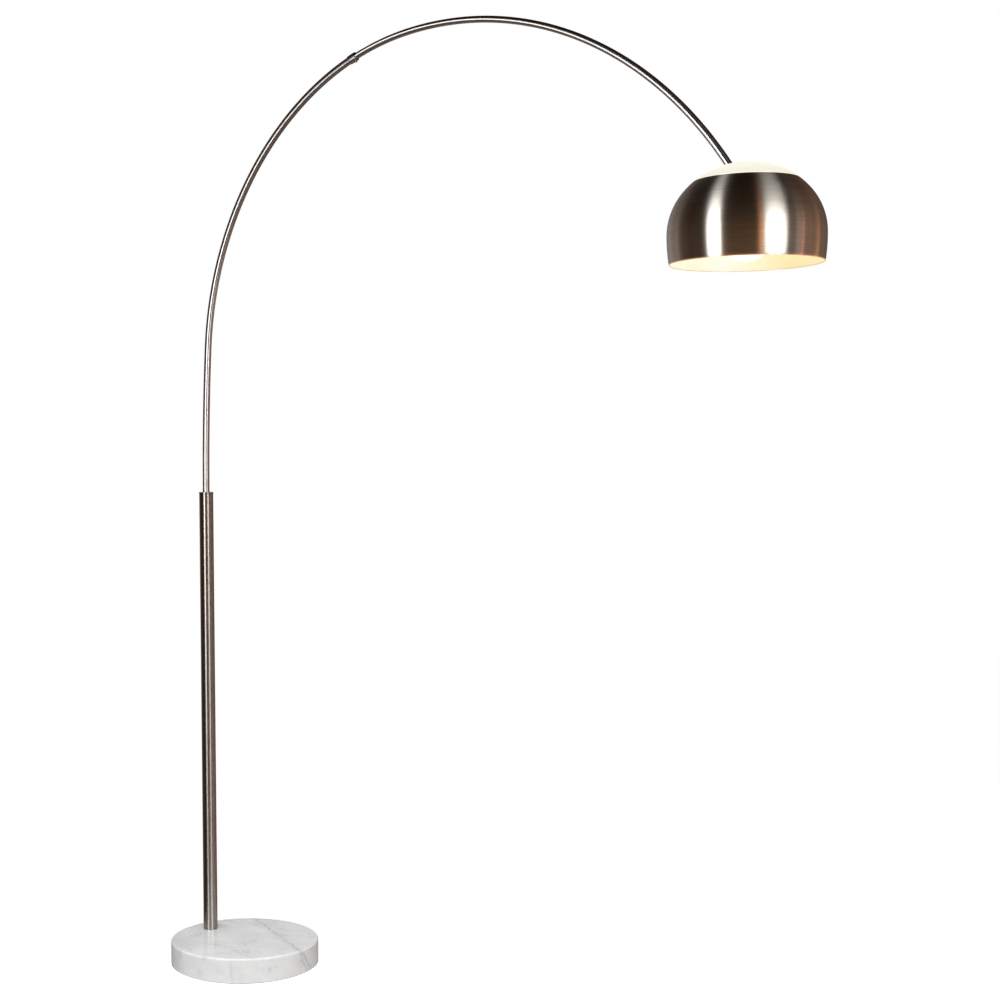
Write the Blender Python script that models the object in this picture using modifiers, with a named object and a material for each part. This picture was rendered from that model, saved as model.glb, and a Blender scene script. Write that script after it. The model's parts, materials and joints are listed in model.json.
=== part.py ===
"""Arc floor lamp: round marble base, upright pole, telescoping bent arm and a
domed metal shade with an opal top cap.

Origin: centre of the underside of the base. +X points along the arm, +Z up.
All lengths are in metres.
"""
import math

import bmesh
import bpy
from mathutils import Matrix, Vector

# ---------------------------------------------------------------- dimensions
FIT = 0.0003                      # gap left between touching pieces

BASE_RADIUS = 0.165
BASE_TOP_Z = 0.055
BASE_EDGE_RADIUS = 0.0045         # rounded top edge of the slab
BASE_FOOT_CHAMFER = 0.0015
PAD_RADIUS = 0.160
PAD_THICKNESS = 0.0017
BASE_RECESS_RADIUS = 0.024        # recess for washer and nut under the pole
BASE_RECESS_TOP_Z = 0.030
INLET_WIDTH = 0.009               # cable channel cut in the underside
INLET_TOP_Z = 0.0105
INLET_AXIS_Z = 0.0062

POLE_X = -0.1145                  # the pole stands near the rim of the base
POLE_RADIUS = 0.0160
POLE_WALL = 0.0015
PLUG_RADIUS = 0.0141              # plugs and bushes that slip into the pole
POLE_TOP_Z = 1.0548               # top of the cap ring
ARM_START_Z = 1.0526              # the arm starts to bend here, inside the ring
CAP_RING_HEIGHT = 0.0040
CAP_RING_RADIUS = 0.0165
CAP_CHAMFER = 0.0007
CAP_SKIRT = 0.0300                # part of the cap inside the pole
BEARING_BORE = 0.0082             # the arm turns in this bore
SPIGOT_LENGTH = 0.124             # straight end of the arm below its start

LOWER_RADIUS = 0.0078             # lower arc tube
LOWER_BORE = 0.0071
UPPER_RADIUS = 0.0066             # upper arc tube, slides in the lower one
UPPER_BORE = 0.0055

LEAN_BEND = (4.746, 0.0692)       # (radius, turn in radians), from the start of the arm
MAIN_BEND = (0.6511, 1.4317)      # shared by both tubes, so that they telescope
TIP_BEND = (0.8200, 1.0374)       # tighter towards the floor, upper tube only
COLLAR_ALONG = 1.1117             # collar centre, measured along the arm
TAIL_OVERLAP = 0.120              # upper tube inside the lower one at rest
TIP_INSET = 0.0305                # straight end of the arm inside the shade

COLLAR_RADIUS = 0.0093
COLLAR_LENGTH = 0.0190
COLLAR_BORE = 0.0071              # round the upper tube
COLLAR_SEAT_BORE = 0.0082         # round the end of the lower tube

WIRE_RADIUS = 0.0016
WIRE_OFFSET = 0.0022              # the two runs lie side by side in the overlap

SHADE_X = 1.2698                  # vertical axis of the shade
RIM_Z = 1.4557
SHELL_WALL = 0.0010
DOME_RADIUS = 0.1392              # upper part of the bowl is a sphere
DOME_CENTRE = 0.0339              # height of its centre over the rim
SHOULDER_ANGLE = math.radians(50.8)
WAIST_RADIUS = 0.1336             # widest point of the bowl
RIM_RADIUS = 0.1299
LIP_ANGLE = math.radians(39.9)    # where the bowl meets the opal cap
LEDGE_RADIUS = 0.0800
LEDGE_Z = 0.1372
LEDGE_WALL = 0.0010
LINER_GAP = 0.0005
LINER_WALL = 0.0006
OPAL_EDGE_RADIUS = 0.0880
OPAL_EDGE_Z = 0.1429
OPAL_APEX_Z = 0.1720
OPAL_WALL = 0.0025

PIVOT_Z = 0.1520                  # tilt axis over the rim, for the ears of the yoke
SLEEVE_END = 0.0058               # end of the arm's sleeve past the tilt axis
TILT_LIMIT = math.radians(12.0)
BRIDGE_Z = 0.1342
BRIDGE_THICKNESS = 0.0016
YOKE_THICKNESS = 0.0016
YOKE_WIDTH = 0.0140
EAR_INNER = 0.0076

GLOBE_RADIUS = 0.0440
GLOBE_CENTRE = 0.0470

MAIN = "arc_floor_lamp"


# ---------------------------------------------------------------- scene setup
for old in list(bpy.data.objects):
    bpy.data.objects.remove(old, do_unlink=True)

scene_root = bpy.context.scene.collection
parts = bpy.data.collections.new(MAIN)
scene_root.children.link(parts)
cutters = bpy.data.collections.new("cutters")
scene_root.children.link(cutters)


def make_material(name, colour, roughness, metallic, alpha=1.0):
    """Principled material with one colour."""
    material = bpy.data.materials.new(name)
    material.use_nodes = True
    shader = material.node_tree.nodes["Principled BSDF"]
    shader.inputs["Base Color"].default_value = (*colour, 1.0)
    shader.inputs["Roughness"].default_value = roughness
    shader.inputs["Metallic"].default_value = metallic
    shader.inputs["Alpha"].default_value = alpha
    return material


MARBLE = make_material("marble", (0.80, 0.79, 0.77), 0.18, 0.0)
FELT = make_material("felt", (0.06, 0.06, 0.06), 0.95, 0.0)
POLE_METAL = make_material("pole_metal", (0.36, 0.33, 0.30), 0.25, 1.0)
ARM_METAL = make_material("arm_metal", (0.42, 0.40, 0.37), 0.22, 1.0)
BOWL_METAL = make_material("bowl_metal", (0.40, 0.37, 0.34), 0.28, 1.0)
ZINC = make_material("zinc_steel", (0.60, 0.60, 0.58), 0.35, 1.0)
BRASS = make_material("brass_metal", (0.75, 0.56, 0.28), 0.30, 1.0)
NYLON = make_material("nylon", (0.10, 0.10, 0.10), 0.55, 0.0)
ENAMEL = make_material("white_enamel", (0.88, 0.85, 0.76), 0.45, 0.0)
OPAL = make_material("opal_acrylic", (0.94, 0.93, 0.88), 0.30, 0.0)
BULB_GLASS = make_material("opal_glass", (0.97, 0.95, 0.90), 0.20, 0.0)
BLACK_PLASTIC = make_material("black_plastic", (0.03, 0.03, 0.03), 0.40, 0.0)
PORCELAIN = make_material("porcelain", (0.85, 0.84, 0.80), 0.30, 0.0)
WIRE_SHEATH = make_material("wire_sheath", (0.82, 0.80, 0.74), 0.50, 0.0)


# ------------------------------------------------------------------- helpers
def add_object(name, data, material, collection=parts):
    """Link an object that holds the data, with its material."""
    obj = bpy.data.objects.new(name, data)
    if material is not None:
        data.materials.append(material)
    collection.objects.link(obj)
    return obj


def turned(name, profile, material, steps=32, closed=False, location=(0, 0, 0), rotation=None):
    """Solid of revolution about local Z from (radius, height) points.

    The profile runs down the outer side. closed=True joins the last point to
    the first, for a ring that does not reach the axis.
    """
    mesh = bpy.data.meshes.new(name)
    verts = [(r, 0.0, z) for r, z in profile]
    edges = [(i, i + 1) for i in range(len(verts) - 1)]
    if closed:
        edges.append((len(verts) - 1, 0))
    mesh.from_pydata(verts, edges, [])
    obj = add_object(name, mesh, material)
    screw = obj.modifiers.new("turn", "SCREW")
    screw.axis = "Z"
    screw.angle = 2.0 * math.pi
    screw.steps = steps
    screw.render_steps = steps
    screw.use_merge_vertices = True
    screw.merge_threshold = 0.00005
    screw.use_smooth_shade = True
    obj.location = location
    if rotation is not None:
        obj.rotation_euler = rotation
    return obj


def ring_profile(outer, inner, low, high):
    """Closed profile of a plain ring, outer side first."""
    return [(outer, high), (outer, low), (inner, low), (inner, high)]


def curve_mesh(name, curve, material, matrix=None):
    """Mesh object from a curve, with its loose caps welded."""
    guide = bpy.data.objects.new(name + "_guide", curve)
    parts.objects.link(guide)
    if matrix is not None:
        guide.matrix_world = matrix
    bpy.context.view_layer.update()
    depsgraph = bpy.context.evaluated_depsgraph_get()
    mesh = bpy.data.meshes.new_from_object(guide.evaluated_get(depsgraph))
    mesh.name = name
    mesh.materials.clear()
    work = bmesh.new()
    work.from_mesh(mesh)
    bmesh.ops.remove_doubles(work, verts=work.verts, dist=0.00002)
    bmesh.ops.recalc_face_normals(work, faces=work.faces)
    work.to_mesh(mesh)
    work.free()
    obj = add_object(name, mesh, material)
    obj.matrix_world = guide.matrix_world.copy()
    bpy.data.objects.remove(guide, do_unlink=True)
    return obj


def poly_curve(name, points, radius, resolution, caps):
    """Round curve through the points."""
    curve = bpy.data.curves.new(name, "CURVE")
    curve.dimensions = "3D"
    curve.bevel_depth = radius
    curve.bevel_resolution = resolution
    curve.use_fill_caps = caps
    spline = curve.splines.new("POLY")
    spline.points.add(len(points) - 1)
    for target, point in zip(spline.points, points):
        target.co = (point[0], point[1], point[2], 1.0)
    return curve


def hollow_tube(name, points, radius, bore, material, resolution=6):
    """Bent tube with open ends and an even wall."""
    curve = poly_curve(name, points, radius, resolution, False)
    obj = curve_mesh(name, curve, material)
    obj.data.shade_smooth()
    wall = obj.modifiers.new("wall", "SOLIDIFY")
    wall.thickness = radius - bore
    wall.offset = -1.0
    wall.use_even_offset = True
    wall.use_rim = True
    return obj


def wire(name, points):
    """Insulated wire with closed ends."""
    return add_object(name, poly_curve(name, points, WIRE_RADIUS, 2, True), WIRE_SHEATH)


def plate(name, outlines, thickness, matrix, material):
    """Flat piece: first outline is its edge, the others are holes."""
    curve = bpy.data.curves.new(name, "CURVE")
    curve.dimensions = "2D"
    curve.fill_mode = "BOTH"
    curve.extrude = thickness / 2.0
    for outline in outlines:
        spline = curve.splines.new("POLY")
        spline.points.add(len(outline) - 1)
        spline.use_cyclic_u = True
        for target, point in zip(spline.points, outline):
            target.co = (point[0], point[1], 0.0, 1.0)
    return curve_mesh(name, curve, material, matrix)


def circle_points(radius, count, start=0.0):
    """Points round a circle about the origin."""
    points = []
    for i in range(count):
        angle = start + 2.0 * math.pi * i / count
        points.append((radius * math.cos(angle), radius * math.sin(angle)))
    return points


def cut(obj, cutter):
    """Subtract one object from another."""
    for collection in list(cutter.users_collection):
        collection.objects.unlink(cutter)
    cutters.objects.link(cutter)
    cutter.hide_render = True
    cutter.display_type = "WIRE"
    boolean = obj.modifiers.new("cut_" + cutter.name, "BOOLEAN")
    boolean.operation = "DIFFERENCE"
    boolean.solver = "EXACT"
    boolean.object = cutter


def cylinder_cutter(name, radius, length, matrix, segments=24):
    """Cylinder along local Z, centred on the matrix."""
    mesh = bpy.data.meshes.new(name)
    work = bmesh.new()
    bmesh.ops.create_cone(
        work,
        cap_ends=True,
        segments=segments,
        radius1=radius,
        radius2=radius,
        depth=length,
    )
    work.to_mesh(mesh)
    work.free()
    obj = add_object(name, mesh, None)
    obj.matrix_world = matrix
    return obj


def box_cutter(name, low, high):
    """Axis-aligned box between two corners."""
    mesh = bpy.data.meshes.new(name)
    work = bmesh.new()
    bmesh.ops.create_cube(work, size=1.0)
    size = [end - start for start, end in zip(low, high)]
    middle = [(end + start) / 2.0 for start, end in zip(low, high)]
    bmesh.ops.scale(work, vec=size, verts=work.verts)
    work.to_mesh(mesh)
    work.free()
    obj = add_object(name, mesh, None)
    obj.location = middle
    return obj


def arc_points(centre, radius, start, end, count):
    """Profile points on a circle; angles are measured from the vertical."""
    points = []
    for i in range(count + 1):
        angle = start + (end - start) * i / count
        points.append((centre[0] + radius * math.sin(angle), centre[1] + radius * math.cos(angle)))
    return points


# ------------------------------------------------------------ arm centreline
def arm_state(along):
    """Centreline point and lean angle at a distance from the arm's start."""
    x = POLE_X
    z = ARM_START_Z
    if along <= 0.0:
        return x, z + along, 0.0
    lean = 0.0
    left = along
    for radius, turn in (LEAN_BEND, MAIN_BEND, TIP_BEND):
        step = min(turn, left / radius)
        x += radius * (math.cos(lean) - math.cos(lean + step))
        z += radius * (math.sin(lean + step) - math.sin(lean))
        lean += step
        left -= radius * step
        if left <= 1e-9:
            return x, z, lean
    return x + left * math.sin(lean), z + left * math.cos(lean), lean


def arm_point(along, offset=0.0):
    """Point on the arm; a positive offset is on the outer side of the bend."""
    x, z, lean = arm_state(along)
    return Vector((x - offset * math.cos(lean), 0.0, z + offset * math.sin(lean)))


LEAN_END = LEAN_BEND[0] * LEAN_BEND[1]
MAIN_END = LEAN_END + MAIN_BEND[0] * MAIN_BEND[1]
TIP_END = MAIN_END + TIP_BEND[0] * TIP_BEND[1]
PIVOT_ALONG = TIP_END + TIP_INSET
TAIL_ALONG = COLLAR_ALONG - TAIL_OVERLAP
LOWER_END = COLLAR_ALONG + 0.0005
TUBE_STEP = math.radians(3.0)


def arm_run(start, end, offset=0.0, step_angle=TUBE_STEP):
    """Points along the arm, spaced by an even turn in each bend."""
    stations = [start]
    bounds = [
        (0.0, LEAN_END, LEAN_BEND[0]),
        (LEAN_END, MAIN_END, MAIN_BEND[0]),
        (MAIN_END, TIP_END, TIP_BEND[0]),
    ]
    for low, high, radius in bounds:
        first = max(start, low)
        last = min(end, high)
        if last - first < 0.002:
            continue
        if first > stations[-1] + 1e-6:
            stations.append(first)
        step = min(radius * step_angle, 0.085)
        count = max(1, math.ceil((last - first) / step))
        for i in range(1, count + 1):
            stations.append(first + (last - first) * i / count)
    if end > stations[-1] + 0.0005:
        stations.append(end)
    return [arm_point(station, offset) for station in stations]


def arm_frame(along):
    """Matrix with local Z along the arm at a distance from its start."""
    x, z, lean = arm_state(along)
    return Matrix.Translation((x, 0.0, z)) @ Matrix.Rotation(lean, 4, "Y")


# ----------------------------------------------------------------- the stand
edge = arc_points((BASE_RADIUS - BASE_EDGE_RADIUS, BASE_TOP_Z - BASE_EDGE_RADIUS),
                  BASE_EDGE_RADIUS, 0.0, math.pi / 2.0, 3)
slab_bottom = PAD_THICKNESS + FIT
slab_profile = [(0.0, BASE_TOP_Z)] + edge
slab_profile += [
    (BASE_RADIUS, slab_bottom + BASE_FOOT_CHAMFER),
    (BASE_RADIUS - BASE_FOOT_CHAMFER, slab_bottom),
    (0.0, slab_bottom),
]
slab = turned("base_slab", slab_profile, MARBLE, steps=64)
pole_axis = Matrix.Translation((POLE_X, 0.0, 0.0))
cut(slab, cylinder_cutter("cut_rod", 0.0064, 0.2, pole_axis))
cut(slab, cylinder_cutter("cut_recess", BASE_RECESS_RADIUS, 2.0 * BASE_RECESS_TOP_Z, pole_axis, 32))
cut(slab, box_cutter(
    "cut_inlet",
    (-BASE_RADIUS - 0.01, -INLET_WIDTH / 2.0, -0.01),
    (POLE_X - 0.015, INLET_WIDTH / 2.0, INLET_TOP_Z),
))

turned("base_pad", [(0.0, PAD_THICKNESS), (PAD_RADIUS, PAD_THICKNESS), (PAD_RADIUS, 0.0), (0.0, 0.0)],
       FELT, steps=48)

washer_z = BASE_RECESS_TOP_Z - 0.0018
plate("base_washer", [circle_points(0.020, 28), circle_points(0.0065, 20)], 0.0030,
      Matrix.Translation((POLE_X, 0.0, washer_z)), ZINC)
nut_z = washer_z - 0.0015 - FIT - 0.0040
plate("base_nut", [circle_points(0.0110, 6), circle_points(0.0063, 20)], 0.0080,
      Matrix.Translation((POLE_X, 0.0, nut_z)), ZINC)
turned("base_rod", ring_profile(0.0060, 0.0032, 0.0165, 0.0800), ZINC, steps=20, closed=True,
       location=(POLE_X, 0.0, 0.0))
turned(
    "inlet_gland",
    [(0.0038, 0.0150), (0.0038, 0.0025), (0.0055, 0.0022), (0.0055, 0.0006),
     (0.0048, 0.0), (0.0022, 0.0), (0.0022, 0.0150)],
    BLACK_PLASTIC, steps=20, closed=True,
    location=(-BASE_RADIUS - 0.0026, 0.0, INLET_AXIS_Z), rotation=(0.0, math.pi / 2.0, 0.0))

pole_low = BASE_TOP_Z + FIT
pole_high = POLE_TOP_Z - CAP_RING_HEIGHT - FIT
turned("pole_tube", ring_profile(POLE_RADIUS, POLE_RADIUS - POLE_WALL, pole_low, pole_high),
       POLE_METAL, steps=28, closed=True, location=(POLE_X, 0.0, 0.0))
turned("pole_foot_plug", ring_profile(PLUG_RADIUS, 0.0063, pole_low, pole_low + 0.022),
       ZINC, steps=24, closed=True, location=(POLE_X, 0.0, 0.0))

ring_low = POLE_TOP_Z - CAP_RING_HEIGHT
cap_low = ring_low - CAP_SKIRT
turned(
    "pole_cap",
    [
        (BEARING_BORE, POLE_TOP_Z),
        (CAP_RING_RADIUS - CAP_CHAMFER, POLE_TOP_Z),
        (CAP_RING_RADIUS, POLE_TOP_Z - CAP_CHAMFER),
        (CAP_RING_RADIUS, ring_low),
        (PLUG_RADIUS, ring_low),
        (PLUG_RADIUS, cap_low),
        (BEARING_BORE, cap_low),
    ],
    POLE_METAL, steps=28, closed=True, location=(POLE_X, 0.0, 0.0))

spigot_end = ARM_START_Z - SPIGOT_LENGTH
floor_top = spigot_end - 0.0036
bush_top = floor_top + 0.022
bush_low = floor_top - 0.010
turned(
    "pole_lower_bush",
    [
        (PLUG_RADIUS, bush_top),
        (PLUG_RADIUS, bush_low),
        (0.0040, bush_low),
        (0.0040, floor_top),
        (BEARING_BORE, floor_top),
        (BEARING_BORE, bush_top),
    ],
    NYLON, steps=24, closed=True, location=(POLE_X, 0.0, 0.0))

wire_top = floor_top + FIT
bend_radius = 0.0100
wire_route = [Vector((-BASE_RADIUS - 0.0010, 0.0, INLET_AXIS_Z))]
wire_route.append(Vector((POLE_X - bend_radius, 0.0, INLET_AXIS_Z)))
for i in range(1, 5):
    turn = math.radians(90.0) * i / 4
    wire_route.append(Vector((
        POLE_X - bend_radius + bend_radius * math.sin(turn),
        0.0,
        INLET_AXIS_Z + bend_radius - bend_radius * math.cos(turn),
    )))
wire_route.append(Vector((POLE_X, 0.0, 0.45)))
wire_route.append(Vector((POLE_X, 0.0, wire_top - 0.0002)))
wire("wire_pole", wire_route)

# ------------------------------------------------------------- the lower arm
hollow_tube("lower_arc_tube", arm_run(-SPIGOT_LENGTH, LOWER_END), LOWER_RADIUS, LOWER_BORE,
            ARM_METAL)
turned(
    "arm_foot_plug",
    [(0.0067, 0.0210), (0.0067, 0.0033), (0.0078, 0.0033), (0.0078, 0.0006), (0.0072, 0.0),
     (0.0024, 0.0), (0.0024, 0.0210)],
    BRASS, steps=20, closed=True, location=(POLE_X, 0.0, spigot_end - 0.0033 - FIT))

collar_frame = arm_frame(COLLAR_ALONG)
half = COLLAR_LENGTH / 2.0
collar = turned(
    "clamp_collar",
    [
        (COLLAR_RADIUS - 0.0008, half),
        (COLLAR_RADIUS, half - 0.0008),
        (COLLAR_RADIUS, -half + 0.0008),
        (COLLAR_RADIUS - 0.0006, -half),
        (COLLAR_SEAT_BORE, -half),
        (COLLAR_SEAT_BORE, 0.0010),
        (COLLAR_BORE, 0.0010),
        (COLLAR_BORE, half),
    ],
    ARM_METAL, steps=28, closed=True)
collar.matrix_world = collar_frame
quarter_turn = Matrix.Rotation(math.pi / 2.0, 4, "Y")
screw_frame = collar_frame @ Matrix.Translation((0.0, 0.0, 0.0052)) @ quarter_turn
screw_hole = screw_frame @ Matrix.Translation((0.0, 0.0, 0.0085))
cut(collar, cylinder_cutter("cut_clamp", 0.0021, 0.008, screw_hole, 16))
clamp = turned(
    "clamp_screw",
    [(0.0, 0.0112), (0.0029, 0.0112), (0.0033, 0.0108), (0.0033, 0.0097), (0.0018, 0.0097),
     (0.0018, 0.0070), (0.0, 0.0070)],
    ZINC, steps=16)
clamp.matrix_world = screw_frame
hex_place = screw_frame @ Matrix.Translation((0.0, 0.0, 0.0122))
cut(clamp, cylinder_cutter("cut_hex", 0.0014, 0.004, hex_place, 6))

lower_wire_end = COLLAR_ALONG - 0.012
offset_start = TAIL_ALONG - 0.170
lower_wire = [Vector((POLE_X, 0.0, wire_top + 0.0004))]
lower_wire += arm_run(0.0, offset_start - 0.03)
lower_wire += arm_run(offset_start, lower_wire_end, -WIRE_OFFSET)
wire("wire_lower_arm", lower_wire)

# ------------------------------------------------------------- the upper arm
tube_end = PIVOT_ALONG - 0.0083
hollow_tube("upper_arc_tube", arm_run(TAIL_ALONG, tube_end), UPPER_RADIUS, UPPER_BORE, ARM_METAL)
tail_ring = turned("tail_ring", ring_profile(UPPER_RADIUS, 0.0051, -0.0040, -FIT), NYLON,
                   steps=20, closed=True)
tail_ring.matrix_world = arm_frame(TAIL_ALONG)

pivot_frame = arm_frame(PIVOT_ALONG)
sleeve = turned(
    "arm_end_sleeve",
    [
        (0.0062, SLEEVE_END),
        (0.0070, SLEEVE_END - 0.0010),
        (0.0070, -0.0080),
        (0.0052, -0.0080),
        (0.0052, -0.0300),
        (0.0024, -0.0300),
        (0.0024, -0.0004),
        (0.0044, 0.0016),
        (0.0044, SLEEVE_END),
    ],
    ZINC, steps=24, closed=True)
sleeve.matrix_world = pivot_frame
pin_turn = Matrix.Rotation(math.pi / 2.0, 4, "X")
cut(sleeve, cylinder_cutter("cut_pivot", 0.0022, 0.05, pivot_frame @ pin_turn, 20))

SCREW_PROFILE = [
    (0.0, 0.0118), (0.0030, 0.0118), (0.0038, 0.0110), (0.0038, 0.0096), (0.0018, 0.0096),
    (0.0018, 0.0032), (0.0, 0.0032),
]
for side, name in ((-1.0, "pivot_screw_front"), (1.0, "pivot_screw_back")):
    screw_axis = pivot_frame @ Matrix.Rotation(-side * math.pi / 2.0, 4, "X")
    pivot_screw = turned(name, SCREW_PROFILE, ZINC, steps=16)
    pivot_screw.matrix_world = screw_axis
    slot = box_cutter("cut_slot_" + name, (-0.0045, -0.0005, 0.0108), (0.0045, 0.0005, 0.0125))
    slot.matrix_world = screw_axis @ Matrix.Translation((0.0, 0.0, 0.01165))
    cut(pivot_screw, slot)

upper_wire = arm_run(TAIL_ALONG + 0.004, MAIN_END, WIRE_OFFSET)
upper_wire += arm_run(MAIN_END + 0.05, PIVOT_ALONG - 0.0006)
wire("wire_upper_arm", upper_wire)


# ------------------------------------------------------------------ the shade
def over_rim(height):
    """World height of a level measured from the rim."""
    return RIM_Z + height


def bowl_profile(inset, top_angle, rim_height):
    """Outer side of the bowl, or a parallel line inside it, top to bottom."""
    join_r = DOME_RADIUS * math.sin(SHOULDER_ANGLE)
    join_z = DOME_CENTRE + DOME_RADIUS * math.cos(SHOULDER_ANGLE)
    side_radius = (WAIST_RADIUS - join_r) / (1.0 - math.sin(SHOULDER_ANGLE))
    waist_z = join_z - side_radius * math.cos(SHOULDER_ANGLE)
    skirt_radius = waist_z ** 2 / (2.0 * (WAIST_RADIUS - RIM_RADIUS))
    skirt_turn = math.asin((waist_z - rim_height) / skirt_radius)
    points = arc_points((0.0, DOME_CENTRE), DOME_RADIUS - inset, top_angle, SHOULDER_ANGLE, 2)
    points += arc_points((WAIST_RADIUS - side_radius, waist_z), side_radius - inset,
                         SHOULDER_ANGLE, math.pi / 2.0, 4)[1:]
    points += arc_points((WAIST_RADIUS - skirt_radius, waist_z), skirt_radius - inset,
                         math.pi / 2.0, math.pi / 2.0 + skirt_turn, 2)[1:]
    return points


shade_place = (SHADE_X, 0.0, RIM_Z)
inner_top_angle = math.acos((LEDGE_Z - LEDGE_WALL - DOME_CENTRE) / (DOME_RADIUS - SHELL_WALL))
shell_outer = bowl_profile(0.0, LIP_ANGLE, 0.0)
shell_inner = bowl_profile(SHELL_WALL, inner_top_angle, 0.0)
lip_r = shell_outer[0][0]
shell_profile = shell_outer + shell_inner[::-1]
shell_profile += [(LEDGE_RADIUS, LEDGE_Z - LEDGE_WALL), (LEDGE_RADIUS, LEDGE_Z)]
shell_profile += [(lip_r - 0.0009, LEDGE_Z)]
turned("bowl_shell", shell_profile, BOWL_METAL, steps=40, closed=True, location=shade_place)

liner_top = BRIDGE_Z - 0.0004
liner_face = SHELL_WALL + LINER_GAP
outer_angle = math.acos((liner_top - DOME_CENTRE) / (DOME_RADIUS - liner_face))
liner_inside = DOME_RADIUS - liner_face - LINER_WALL
inner_angle = math.acos((liner_top - LINER_WALL - DOME_CENTRE) / liner_inside)
liner_outer = bowl_profile(liner_face, outer_angle, 0.0008)
liner_inner = bowl_profile(liner_face + LINER_WALL, inner_angle, 0.0008)
liner_profile = liner_outer + liner_inner[::-1]
liner_profile += [(0.0770, liner_top - LINER_WALL), (0.0770, liner_top)]
turned("bowl_liner", liner_profile, ENAMEL, steps=40, closed=True, location=shade_place)

opal_rise = OPAL_APEX_Z - OPAL_EDGE_Z
opal_sphere = (OPAL_EDGE_RADIUS ** 2 + opal_rise ** 2) / (2.0 * opal_rise)
opal_centre = (0.0, OPAL_APEX_Z - opal_sphere)
opal_edge_angle = math.asin(OPAL_EDGE_RADIUS / opal_sphere)
opal_inner_angle = math.asin((OPAL_EDGE_RADIUS - OPAL_WALL) / (opal_sphere - OPAL_WALL))
opal_low = LEDGE_Z + 0.0004
opal_profile = arc_points(opal_centre, opal_sphere, 0.0, opal_edge_angle, 5)
opal_profile += [(OPAL_EDGE_RADIUS, opal_low), (OPAL_EDGE_RADIUS - OPAL_WALL, opal_low)]
opal_profile += arc_points(opal_centre, opal_sphere - OPAL_WALL, opal_inner_angle, 0.0, 5)
opal_cap = turned("opal_cap", opal_profile, OPAL, steps=40, location=shade_place)

# The tube passes the cap through a slot as long as the tilt needs.
slot_near = 0.010
slot_far = 0.045
side_clear = UPPER_RADIUS + 0.0010


def slot_half(distance):
    """Half length of the slot at a distance from the tilt axis."""
    return side_clear / math.cos(TILT_LIMIT) + distance * math.tan(TILT_LIMIT)


slot_outline = [
    (-slot_half(slot_near), -slot_near),
    (slot_half(slot_near), -slot_near),
    (slot_half(slot_far), -slot_far),
    (-slot_half(slot_far), -slot_far),
]
flat_in_xz = Matrix.Rotation(math.pi / 2.0, 4, "X")
slot_cutter = plate("cut_opal_slot", [slot_outline], 2.0 * side_clear, pivot_frame @ flat_in_xz, None)
cut(opal_cap, slot_cutter)

bridge_outline = []
BAR_HALF = 0.0110
DISC_RADIUS = 0.0320
bar_angle = math.asin(BAR_HALF / DISC_RADIUS)
for side in (1.0, -1.0):
    middle = math.pi / 2.0 * side
    first = middle - bar_angle
    bridge_outline.append((BAR_HALF * side, 0.0880 * side))
    bridge_outline.append((-BAR_HALF * side, 0.0880 * side))
    for i in range(9):
        angle = middle + bar_angle + (math.pi - 2.0 * bar_angle) * i / 8
        bridge_outline.append((DISC_RADIUS * math.cos(angle), DISC_RADIUS * math.sin(angle)))
bridge_middle = BRIDGE_Z + BRIDGE_THICKNESS / 2.0
plate("shade_bridge", [bridge_outline, circle_points(0.0054, 20)], BRIDGE_THICKNESS,
      Matrix.Translation((SHADE_X, 0.0, over_rim(bridge_middle))), ZINC)

pivot_x, pivot_y, pivot_z = pivot_frame.translation
yoke_low = BRIDGE_Z + BRIDGE_THICKNESS + FIT
yoke_floor = yoke_low + YOKE_THICKNESS
ear_outer = EAR_INNER + YOKE_THICKNESS
ear_top = PIVOT_Z + 0.0065
yoke_outline = [
    (-ear_outer, yoke_low),
    (ear_outer, yoke_low),
    (ear_outer, ear_top),
    (EAR_INNER, ear_top),
    (EAR_INNER, yoke_floor),
    (-EAR_INNER, yoke_floor),
    (-EAR_INNER, ear_top),
    (-ear_outer, ear_top),
]
upright = Matrix.Rotation(math.pi / 2.0, 4, "Z") @ Matrix.Rotation(math.pi / 2.0, 4, "X")
yoke_place = Matrix.Translation((pivot_x, 0.0, RIM_Z)) @ upright
yoke = plate("shade_yoke", [yoke_outline], YOKE_WIDTH, yoke_place, ZINC)
ear_axis = Matrix.Translation(pivot_frame.translation) @ pin_turn
cut(yoke, cylinder_cutter("cut_ears", 0.0022, 0.05, ear_axis, 20))

nipple_top = yoke_low + 0.0062
turned("holder_nipple", ring_profile(0.0050, 0.0032, 0.1300, nipple_top), ZINC, steps=20, closed=True,
       location=shade_place)
plate("holder_nut", [circle_points(0.0076, 6), circle_points(0.0053, 20)], 0.0040,
      Matrix.Translation((SHADE_X, 0.0, over_rim(yoke_low + 0.0020))), ZINC)
turned(
    "holder_body",
    [(0.0053, 0.1338), (0.0120, 0.1338), (0.0170, 0.1315), (0.0200, 0.1270), (0.0200, 0.0885),
     (0.0178, 0.0885), (0.0178, 0.1250), (0.0150, 0.1290), (0.0053, 0.1300)],
    BLACK_PLASTIC, steps=24, closed=True, location=shade_place)
turned(
    "holder_ring",
    [(0.0222, 0.1060), (0.0230, 0.1050), (0.0230, 0.1000), (0.0222, 0.0990),
     (0.0203, 0.0990), (0.0203, 0.1060)],
    BLACK_PLASTIC, steps=24, closed=True, location=shade_place)
turned("holder_insert", ring_profile(0.0174, 0.0036, 0.1165, 0.1230), PORCELAIN, steps=24, closed=True,
       location=shade_place)
turned("holder_screw_shell", ring_profile(0.0146, 0.0138, 0.0945, 0.1160), BRASS, steps=28, closed=True,
       location=shade_place)
turned(
    "holder_contact",
    [(0.0, 0.1210), (0.0032, 0.1210), (0.0032, 0.1155), (0.0024, 0.1145), (0.0, 0.1145)],
    BRASS, steps=16, location=shade_place)

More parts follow.
